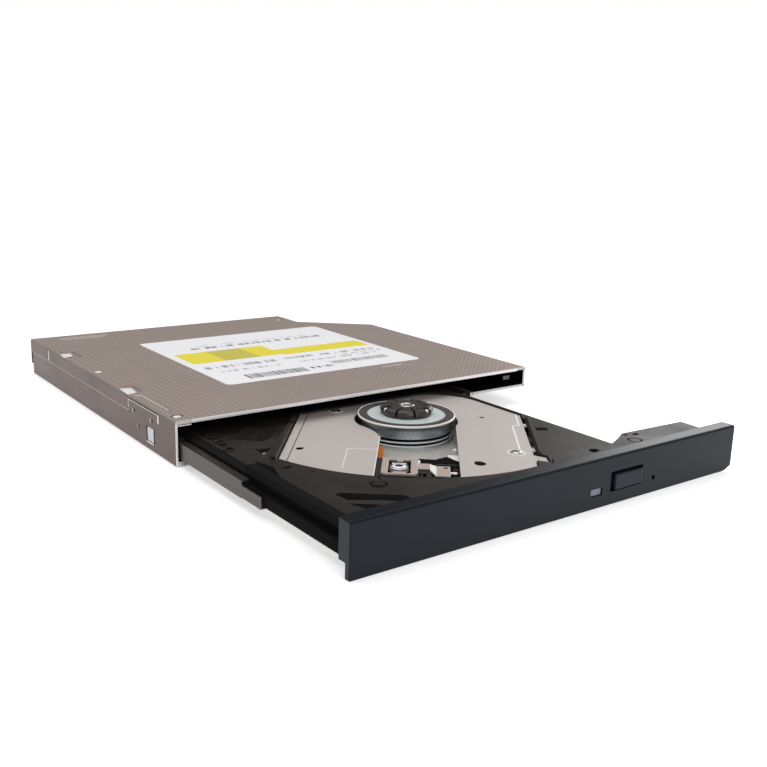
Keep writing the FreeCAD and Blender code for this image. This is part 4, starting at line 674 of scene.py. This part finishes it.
# Edges round the mouth, painted bright: the cut edges partly as bare metal and partly as a highlight, the
# folded hems as a painted highlight
rim_front, rim_back = front - 0.08, front + 0.1
work = bmesh.new()
for x_from, x_to, low, high in ((-59.2, 60.5, case_top - 0.92, case_top - 0.06),
                                (-63.98, -63.4, 0.2, 11.7), (-63.6, -59.4, 11.2, 11.5)):
    box(work, x_from, x_to, rim_front, rim_back, low, high)
softened(work, 0.06)
piece("mouth_rim", work, bare_metal_and_highlight, "housing", True)
work = bmesh.new()
for x_from, x_to, low, high in ((60.6, 63.9, case_top - 0.8, case_top - 0.1),
                                (63.2, 63.98, 6.1, case_top - 0.3), (40.1, 63.8, 6.02, 6.84),
                                (40.02, 40.6, 4.9, 6.9), (-63.35, -61.4, 0.15, 1.5)):
    box(work, x_from, x_to, rim_front, rim_back, low, high)
# A light post inside the mouth at the right: a painted glint
box(work, 60.0, 62.8, front + 6, front + 6.5, 7.3, 8.7)
softened(work, 0.15)
piece("mouth_hem", work, highlight_steel, "housing", True)

# Painted shade: black sheets under the lid, and on the floor and the wall of the right wing, where the inside
# of the case lies in shadow
work = bmesh.new()
slab(work, [(-60, front + 0.4), (60, front + 0.4), (60, 26), (37, 45), (-60, 45)], 12.08, 12.14)
box(work, 41.2, 63.4, front + 0.3, 20, 6.8, 6.84)
box(work, 63.44, 63.49, front + 0.3, 20, 6.9, 12)
piece("case_shade_sheets", work, shade_sheet, "housing")

# Pressed tabs, a bump and cut lines at the cover's left side, painted nearly white as highlights
work = bmesh.new()
tab_low, tab_top = case_top - 0.02, case_top + 0.05
slab(work, [(-64.0, 26.0), (-60.7, 26.6), (-59.9, 31.4), (-63.3, 31.7)], tab_low, tab_top)
slab(work, [(-64.0, -30.4), (-60.9, -29.4), (-60.3, -23.8), (-63.5, -22.8)], tab_low, tab_top)
turned(work, [(0, tab_top + 0.1), (0.7, tab_top + 0.06), (1.1, tab_low), (0, tab_low)], -61.4, 0.7, 24)
bar(work, (-62.6, -32.4), (-61.0, -32.9), 0.22, tab_low, tab_top)
bar(work, (-61.0, -32.9), (-61.0, -51.8), 0.22, tab_low, tab_top)
bar(work, (21.0, -38.5), (29.5, -38.5), 0.25, tab_low, tab_top)
softened(work, 0.02, 1)
piece("pressed_tabs", work, bare_metal_and_highlight, "housing")
work = bmesh.new()
slab(work, [(-55.4, 54.8), (-40.0, 54.2), (-36.6, 58.4), (-55.0, 58.6)], case_top - 0.02, case_top + 0.03)
piece("rear_strip", work, pickup_sheet, "housing")

# Edges of the left wall, painted bright, partly as bare cut metal and partly as a highlight; the lip of the
# skirt, painted light as the highlight on the seam; a black strip, painted shade for a slot; and a window
work = bmesh.new()
wall_out, wall_in = -64.03, -63.9
for y_from, y_to, low, high in ((-51.6, -31.0, 11.5, 11.68), (-30.75, -30.5, 9.1, 11.7),
                                (-52.1, -51.3, 9.3, 11.6), (-33.9, -33.65, 8.2, 9.5),
                                (-46.4, -46.15, 8.1, 9.5), (-37.0, -36.8, 4.6, 5.4),
                                (-48.2, -47.95, 2.2, 6.9), (-48.0, -43.3, 2.1, 2.4), (42.0, 42.6, 8.7, 12.1)):
    box(work, wall_out, wall_in, y_from, y_to, low, high)
piece("wall_edges", work, bare_metal_and_highlight, "housing")
work = bmesh.new()
# Painted highlight: a light lip along the seam below the skirt
box(work, wall_out, -63.85, -30.8, 61, 8.05, 8.35)
softened(work, 0.04)
piece("skirt_lip", work, pickup_sheet, "housing", True)
work = bmesh.new()
# Painted shade: a black strip on the wall where a slot shows only shadow
box(work, wall_out, wall_in, -51.3, -31.2, 11.72, 11.98)
piece("wall_slot_shade", work, shade_sheet, "housing")
work = bmesh.new()
box(work, -63.7, -63.52, -47.6, -43.4, 2.4, 6.6)
piece("window_backing", work, flat_cable, "housing")

# Gilt contacts on the two blades of the rear socket
contact_pitch = 1.27
work = bmesh.new()
for first, count in ((10.8, 6), (24.7, 7)):
    for number in range(count):
        x = first + contact_pitch * number
        box(work, x - 0.3, x + 0.3, 57.5, 61.9, 4.18, 4.24)
piece("socket_contacts", work, gilt, "housing")

# Centring hub: sprung claws between slots, three balls in pockets
hub_low, hub_turn = 8.9, 50


def from_spindle(angle, reach):
    """X and Y of a point some way from the spindle, at an angle in degrees."""
    way = math.radians(angle)
    return spindle_x + reach * math.cos(way), spindle_y + reach * math.sin(way)


work = bmesh.new()
turned(work, [(2.3, 11.2), (2.3, 11.4), (6.4, 11.4), (7.05, 11.25), (7.5, 10.85), (7.75, 10.2), (7.5, 9.6),
              (7.4, 9.2), (7.3, hub_low), (0.9, hub_low), (0.9, 11.2), (2.3, 11.2)], spindle_x, spindle_y, 72)
# The pockets of the balls, then the slots on both sides of each claw
for turn, near, width, low in ((0, 5.3, 2.0, 9.7), (40, 4.2, 0.7, 9.3), (80, 4.2, 0.7, 9.3)):
    tool = bmesh.new()
    for number in range(3):
        angle = hub_turn + 120 * number + turn
        bar(tool, from_spindle(angle, near), from_spindle(angle, 9), width, low, 13)
    work = carved(work, tool)
tool = bmesh.new()
for number in range(3):
    hole = from_spindle(hub_turn + 120 * number - 16, 4.6)
    turned(tool, [(0, 10.7), (0.5, 10.7), (0.5, 12), (0, 12)], *hole, 16)
work = carved(work, tool)
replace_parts(piece("centring_hub", work, hub_acetal, "spindle"), "disc_hub")
work = bmesh.new()
for number in range(3):
    x, y = from_spindle(hub_turn + 120 * number, 6.7)
    bmesh.ops.create_uvsphere(work, u_segments=24, v_segments=14, radius=0.75 * mm,
                              matrix=Matrix.Translation((x * mm, y * mm, 10.4 * mm)))
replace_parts(piece("hub_balls", work, plated, "spindle", True), "disc_balls")
work = bmesh.new()
turned(work, [(0, 11.3), (1.3, 11.3), (1.5, 11.45), (1.75, 11.54), (2.0, 11.52), (2.25, 11.36),
              (2.25, 11.1), (0, 11.1)], spindle_x, spindle_y, 40)
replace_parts(piece("shaft_cap", work, plated, "spindle", True), "hub_cap")

# Pressed lines and screw dishes on the traverse's plate, painted nearly white as highlights
work = bmesh.new()
line_low, line_top = plate_top - 0.02, plate_top + 0.09
for start, end, width in (((-9.5, 32.7), (2.0, 32.7), 0.5), ((2.0, 32.9), (2.9, 30.6), 0.5),
                          ((2.9, 30.8), (27.2, 30.8), 0.5), ((33.4, 35.4), (37.9, 35.7), 0.5),
                          ((29.6, -14.8), (29.6, -6.9), 0.22), ((29.6, -14.8), (45.4, -14.8), 0.22),
                          ((17.8, -6.83), (50.6, -6.83), 0.22)):
    bar(work, on_traverse(*start), on_traverse(*end), width, line_low, line_top)
for (x, y), radius in ((right_screw, 2.5), (left_screw, 2.1)):
    turned(work, [(radius, line_low), (radius, line_top), (radius - 0.35, line_top),
                  (radius - 0.35, line_low), (radius, line_low)], x, y, 40)
piece("plate_pressings", work, bare_metal_and_highlight, "tray")

# Painted shade: black discs over the plate's round holes, and black patches on the tray's floor for its slots
# and a dark pocket, where these show only shadow
work = bmesh.new()
for u, v, radius in ((31.29, -27.25, 0.95), (37.73, 19.62, 1.5), (-5.0, 22.44, 0.6)):
    turned(work, [(0, plate_top + 0.03), (radius, plate_top + 0.03), (radius, line_low), (0, line_low)],
           *on_traverse(u, v), 32)
film_low, film_top = floor_top - 0.02, floor_top + 0.03
for outline in (((-50.4, 25.9), (-48.5, 26.1), (-37.1, 16.9), (-37.3, 14.5), (-39.7, 14.2), (-49.7, 22.5)),
                ((-50.8, 19.7), (-45.0, 15.0), (-49.2, 14.9)),
                ((-54.2, 56.0), (-52.7, 49.8), (-54.7, 42.6), (-57.2, 45.8))):
    slab(work, [on_tray(*corner) for corner in outline], film_low, film_top)
slab(work, [(27.4, -104.6), (30.3, -106.4), (28.8, -108.2), (26.0, -106.4)], film_low, film_top)
piece("hole_and_pocket_shades", work, shade_sheet, "tray")

# Grid of small ribs on the lowered floor, left of the traverse
work = bmesh.new()
corner, along, across = Vector((-49.9, 77.1)), Vector((7.6, 6.9)), Vector((7.8, -7.0))
rib_width, rib_low, rib_top = 0.35, floor_top - 0.62, floor_top - 0.2
for stride, run, shares in ((along, across, (0, 0.16, 0.33, 0.5, 0.66, 0.83, 1)),
                            (across, along, (0, 0.5, 1))):
    for share in shares:
        start = corner + stride * share
        bar(work, on_tray(*start), on_tray(*(start + run)), rib_width, rib_low, rib_top)
piece("floor_ribs", work, tray_black, "tray")

# Flat cable that shows through the three-cornered hole
work = bmesh.new()
slab(work, [on_tray(-50.6, 58.4), on_tray(-45.4, 62.2), on_tray(-46.0, 65.0), on_tray(-50.6, 61.2)],
     6.05, 6.19)
piece("cable_under_floor", work, flat_cable, "tray")

# Motor: the lip of the turntable and the turned bands, painted pale as highlights, and a black skirt below
# the cup, painted shade in the gap
work = bmesh.new()
turned(work, [(13.9, 8.8), (14.0, 8.9), (14.12, 8.9), (14.24, 8.78), (14.26, 8.5), (14.15, 8.32),
              (13.9, 8.32), (13.9, 8.8)], spindle_x, spindle_y, 96)
piece("turntable_lip", work, bare_metal_and_highlight, "spindle", True)
work = bmesh.new()
for radius, low, high in ((13.62, 2.25, 2.9), (13.45, 3.55, 3.95)):
    turned(work, [(13.0, high), (radius - 0.12, high), (radius, high - 0.12), (radius, low + 0.12),
                  (radius - 0.12, low), (13.0, low), (13.0, high)], spindle_x, spindle_y, 96)
piece("motor_bands", work, highlight_steel, "tray", True)
work = bmesh.new()
# Painted shade: a black ring in the gap below the rotor cup
turned(work, [(12.9, 4.6), (13.2, 4.5), (13.2, 2.0), (14.1, 1.95), (14.1, 1.84), (12.9, 1.84), (12.9, 4.6)],
       spindle_x, spindle_y, 96)
piece("motor_gap_shade", work, shade_sheet, "tray", True)

# Pickup: folded shield with its window, spring, clips and terminals
work = bmesh.new()
traverse_slab(work, [(33.0, -5.3), (33.0, 3.9), (44.2, 3.9), (45.5, 3.2), (45.5, -4.6), (44.8, -5.3)],
              5.6, 6.1)
tool = bmesh.new()
traverse_slab(tool, [(34.5, -3.6), (34.5, -1.5), (35.5, -1.5), (35.5, 0.0), (34.5, 0.0), (34.5, 2.1),
                     (44.9, 2.1), (44.9, 0.9), (43.8, 0.9), (43.8, -2.3), (44.9, -2.3), (44.9, -3.6)], 5, 7)
work = carved(work, tool)
softened(work, 0.05, 1)
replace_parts(piece("pickup_shield", work, pickup_sheet, "sled"), "pickup_cover")

work = bmesh.new()
traverse_slab(work, [(36.9, 3.9), (36.9, 7.0), (40.8, 7.0), (40.8, 3.9)], 5.75, 6.05)
traverse_slab(work, [(38.5, 8.5), (38.5, 12.0), (45.8, 12.0), (45.8, 8.5)], 5.75, 6.05)
tool = bmesh.new()
turned(tool, [(0, 5), (0.7, 5), (0.7, 7), (0, 7)], *on_traverse(39.6, 10.8), 24)
work = carved(work, tool)
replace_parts(piece("spring_leaf", work, pickup_sheet, "sled"), "spring_plate")

work = bmesh.new()
traverse_slab(work, [(37.2, 6.9), (41.6, 6.9), (45.9, 8.5), (38.6, 8.5)], 5.72, 6.08)
traverse_slab(work, [(42.6, 12.0), (43.5, 12.0), (43.5, 13.0), (42.6, 13.0)], 5.75, 6.0)
turned(work, [(0, 6.1), (0.45, 6.05), (0.6, 5.9), (0.5, 5.7), (0, 5.7)], *on_traverse(43.0, 13.2), 20)
piece("spring_folds", work, bare_metal_and_highlight, "sled")

# Painted shade: matt black sheets in the gaps beside the shield, under the spring and by the nut lug
work = bmesh.new()
traverse_slab(work, [(33.0, 4.0), (36.7, 4.0), (36.7, 8.4), (33.2, 9.0)], 5.62, 5.98)
traverse_slab(work, [(36.0, 8.2), (33.0, 8.6), (30.6, 11.4), (34.8, 14.6), (36.2, 14.6)], 5.9, 6.04)
traverse_slab(work, [(36.6, 7.4), (44.6, 7.4), (44.6, 12.8), (36.6, 12.8)], 4.9, 5.2)
piece("pickup_blacks", work, shade_sheet, "sled")

# Flexible printed cable between the traverse and the sled, drawn in one shape
cable_from, cable_to, cable_low, cable_thick = 22.5, 32.5, 5.5, 0.15
work = bmesh.new()
traverse_slab(work, [(cable_from, -9), (cable_to, -9), (cable_to, -5.3), (cable_from, -5.3)],
              cable_low, cable_low + cable_thick)
bmesh.ops.subdivide_edges(work, edges=work.edges, cuts=12, use_grid_fill=True)
ends = [tuple(mm * value for value in (*on_traverse(u, -7), cable_low)) for u in (cable_from, cable_to)]
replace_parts(piece("pickup_cable", work, orange_film, "tray", bent=("sled", *ends)),
            "pickup_flex")

work = bmesh.new()
traverse_slab(work, [(22.4, 14.0), (24.4, 12.9), (24.8, 14.0)], 5.2, 5.9)
traverse_slab(work, [(28.9, 12.2), (29.2, 15.0), (33.9, 14.9), (32.4, 12.2)], 5.72, 5.95)
piece("nut_lug", work, white, "sled")
work = bmesh.new()
traverse_slab(work, [(43.4, 5.0), (43.3, 6.1), (45.4, 6.1), (45.5, 5.2)], 5.3, 5.6)
traverse_slab(work, [(43.2, 4.2), (43.2, 4.7), (45.6, 4.7), (45.5, 4.2)], 5.3, 5.6)
traverse_slab(work, [(34.5, 3.9), (34.5, 4.4), (36.9, 4.4), (36.9, 3.9)], 5.98, 6.08)
piece("pickup_terminals", work, bare_metal_and_highlight, "sled")
work = bmesh.new()
traverse_slab(work, [(43.3, 7.1), (43.3, 7.5), (45.9, 8.3), (46.0, 7.7)], 5.3, 5.6)
piece("pickup_wires", work, gilt, "sled")

# Flat cable of the case: a lower run and an upper one, joined by a fold, drawn in one shape
ribbon_left, ribbon_right, ribbon_low, ribbon_thick = -4.0, 20.0, 0.6, 0.15
ribbon_rear, plug_y, fold_y, fold_radius = 46.6, -38.2, -61.6, 0.375
fold_z = ribbon_low + fold_radius
ribbon_top = fold_z + fold_radius


def fold_arc(radius, turns):
    """Points on the ribbon's fold, as Y and Z, at shares of a half turn."""
    return [(fold_y - radius * math.sin(math.pi * share), fold_z - radius * math.cos(math.pi * share))
            for share in turns]


shares = [step / 8 for step in range(9)]
outline = [(ribbon_rear, ribbon_low), *fold_arc(fold_radius, shares),
           (plug_y, ribbon_top), (plug_y, ribbon_top - ribbon_thick),
           *fold_arc(fold_radius - ribbon_thick, reversed(shares)), (ribbon_rear, ribbon_low + ribbon_thick)]
work = bmesh.new()
drawn_out(work, [(ribbon_left, y, z) for y, z in outline], (ribbon_right - ribbon_left, 0, 0))
ends = [(ribbon_left * mm, fold_y * mm, z * mm)
        for z in (ribbon_low + ribbon_thick, ribbon_top - ribbon_thick)]
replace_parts(piece("ribbon_cable", work, flat_cable, "housing", bent=("tray", *ends)),
            "flat_flex_cable")

# Spring of the ejector: a coil at one length, which the rod presses together in the drive
coil_x, coil_z, coil_radius, coil_wire, coil_turns = -20.0, 4.6, 0.9, 0.15, 8
coil_from, coil_to, coil_steps, wire_sides = -51.75, -39.6, 160, 8
work = bmesh.new()
rings = []
for step in range(coil_steps + 1):
    share = step / coil_steps
    way = share * coil_turns * math.tau
    along = coil_from + share * (coil_to - coil_from)
    ring = []
    for side in range(wire_sides):
        tilt = side * math.tau / wire_sides
        reach = coil_radius + coil_wire * math.cos(tilt)
        ring.append(work.verts.new(((coil_x + reach * math.cos(way)) * mm,
                                    (along + coil_wire * math.sin(tilt)) * mm,
                                    (coil_z + reach * math.sin(way)) * mm)))
    rings.append(ring)
for near, far in zip(rings, rings[1:]):
    for side in range(wire_sides):
        follower = (side + 1) % wire_sides
        work.faces.new((near[side], near[follower], far[follower], far[side]))
for ring in (rings[0], rings[-1]):
    work.faces.new(ring)
ends = [(coil_x * mm, y * mm, coil_z * mm) for y in (coil_from, coil_to)]
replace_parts(piece("spring_coil", work, plated, "tray", True, bent=("ejector", *ends)),
            "ejector_spring")

# Lens in its holder: a grey frame, a bright bar and the collar round the glass
lens_x, lens_y = on_traverse(38.4, -0.9)
work = bmesh.new()
traverse_slab(work, [(35.9, -3.0), (35.9, 1.2), (37.2, 1.55), (40.8, 1.55), (42.4, 0.9), (42.4, -2.7),
                     (40.8, -3.35), (37.2, -3.35)], 5.1, 5.42)
tool = bmesh.new()
turned(tool, [(0, 4), (1.66, 4), (1.66, 8), (0, 8)], lens_x, lens_y, 40)
work = carved(work, tool)
softened(work, 0.08, 1)
piece("lens_frame", work, holder_grey, "lens")
work = bmesh.new()
traverse_slab(work, [(35.9, -2.7), (35.9, 0.9), (36.5, 0.9), (36.5, -2.7)], 5.42, 5.6)
turned(work, [(1.05, 5.78), (1.15, 5.84), (1.5, 5.78), (1.95, 5.58), (2.1, 5.42), (1.86, 5.42), (1.05, 5.78)],
       lens_x, lens_y, 48)
piece("lens_collar", work, bare_metal_and_highlight, "lens", True)


# The studio: a pale floor, a pale surround and soft lamps

def studio_floor():
    """White sweep that keeps the object's shadow, with a faint gloss."""
    made = bpy.data.materials.new("white_sweep")
    made.use_nodes = True
    tree = made.node_tree
    tree.nodes.clear()
    rays = add(tree, "LightPath").node.outputs
    paper = add(tree, "BsdfDiffuse", {"Color": "#eeeeee"})
    sheen = add(tree, "BsdfGlossy", {"Color": "#ffffff", "Roughness": 0.05})
    lit = add(tree, "MixShader", [0.2, paper, sheen])
    # Away from the object the sweep glows, so that it runs into the white of the picture
    place = add(tree, "TexCoord", out="Object")
    far = add(tree, "VectorMath", [place], out="Value", operation="LENGTH")
    glow_near, glow_far = 0.16, 0.45
    strength = add(tree, "MapRange", [far, glow_near, glow_far, 0.5, 1.0])
    seen = add(tree, "Math", [rays["Is Camera Ray"], rays["Is Glossy Ray"]], operation="MAXIMUM")
    shown = add(tree, "Math", [seen, strength], operation="MULTIPLY")
    glow = add(tree, "Emission", {"Color": "#ffffff", "Strength": shown})
    add(tree, "OutputMaterial", {"Surface": add(tree, "AddShader", [lit, glow])})
    return made


half_width, floor_height = 6.0, -0.05 * mm
floor_mesh = bpy.data.meshes.new("studio_floor")
sweep = bmesh.new()
bmesh.ops.create_grid(sweep, x_segments=1, y_segments=1, size=half_width,
                      matrix=Matrix.Translation((0, 0, floor_height)))
sweep.to_mesh(floor_mesh)
sweep.free()
floor = bpy.data.objects.new("studio_floor", floor_mesh)
floor.data.materials.append(studio_floor())
bpy.context.scene.collection.objects.link(floor)

world = bpy.data.worlds.new("studio_surround")
bpy.context.scene.world = world
world.use_nodes = True
sky = world.node_tree
sky.nodes.clear()
rays = add(sky, "LightPath").node.outputs
compass = add(sky, "TexCoord", out="Generated")


def towards(turn, rise, low, high, new_low, new_high):
    """Brightness by how near a ray runs to a heading, from +Y towards +X, and a height, in degrees.

    low and high are cosines of the angle between them, and new_low and new_high the brightness there.
    """
    turn, rise = math.radians(turn), math.radians(rise)
    way = (math.sin(turn) * math.cos(rise), math.cos(turn) * math.cos(rise), math.sin(rise))
    near = add(sky, "VectorMath", [compass, way], out="Value", operation="DOT_PRODUCT")
    return add(sky, "MapRange", [near, low, high, new_low, new_high])


# Darker behind the object, as the real studio was between its lamps and its open right side
behind = towards(18, 0, 0.6, 0.86, 0.5, 0.08)
open_side = towards(72, 12, 0.88, 0.985, 0.0, 0.8)
left_side = towards(-90, 0, 0.1, 0.8, 0.55, 0.3)
mirrored = add(sky, "Math", [behind, open_side], operation="ADD")
seen = add(sky, "Math", [rays["Is Camera Ray"], rays["Is Transmission Ray"]], operation="MAXIMUM")
gleam = add(sky, "Math", [rays["Is Glossy Ray"], mirrored], operation="MULTIPLY")
plain = add(sky, "Math", [rays["Is Diffuse Ray"], left_side], operation="MULTIPLY")
brighter = add(sky, "Math", [seen, gleam], operation="MAXIMUM")
fill = add(sky, "Math", [brighter, plain], operation="MAXIMUM")
add(sky, "OutputWorld", {"Surface": add(sky, "Background", {"Color": "#ffffff", "Strength": fill})})


def softbox(name, place, width, height, power):
    """A rectangular lamp that faces the middle of the object."""
    middle = Vector((0, -40 * mm, 0))
    lamp = bpy.data.lights.new(name, "AREA")
    lamp.shape = "RECTANGLE"
    lamp.size = width
    lamp.size_y = height
    lamp.energy = power
    made = bpy.data.objects.new(name, lamp)
    made.location = place
    made.rotation_euler = (Vector(place) - middle).to_track_quat("Z", "Y").to_euler()
    bpy.context.scene.collection.objects.link(made)


softbox("overhead_box", (-0.1, 0.05, 0.75), 0.7, 0.7, 3.0)
softbox("right_box", (0.85, 0.25, 0.3), 0.5, 0.35, 1.5)
softbox("front_box", (-0.15, -0.85, 0.5), 0.5, 0.4, 2.0)

# The camera, as a least-squares fit to the object's corners in the photograph gives it
view_turn, view_rise, view_roll = math.radians(-36.797), math.radians(13.99), math.radians(1.571)
view_aim = Vector((38.661, 46.528 - 63, 0)) * mm
view_distance = 344.872 * mm
focal_pixels, frame_pixels, sensor_width = 938.15, 767, 36.0
back = Vector((math.sin(view_turn) * math.cos(view_rise), -math.cos(view_turn) * math.cos(view_rise),
               math.sin(view_rise)))
level = Vector((math.cos(view_turn), math.sin(view_turn), 0))
upright = back.cross(level)
right = level * math.cos(view_roll) + upright * math.sin(view_roll)
up = upright * math.cos(view_roll) - level * math.sin(view_roll)
lens = bpy.data.cameras.new("photograph_view")
lens.sensor_width = sensor_width
lens.lens = focal_pixels / frame_pixels * sensor_width
lens.clip_start = 10 * mm
lens.clip_end = 20.0
camera = bpy.data.objects.new("photograph_view", lens)
camera.matrix_world = Matrix.Translation(view_aim + back * view_distance) @ Matrix(
    (right, up, back)).transposed().to_4x4()
bpy.context.scene.collection.objects.link(camera)
bpy.context.scene.camera = camera
bpy.context.scene.view_settings.view_transform = "Standard"
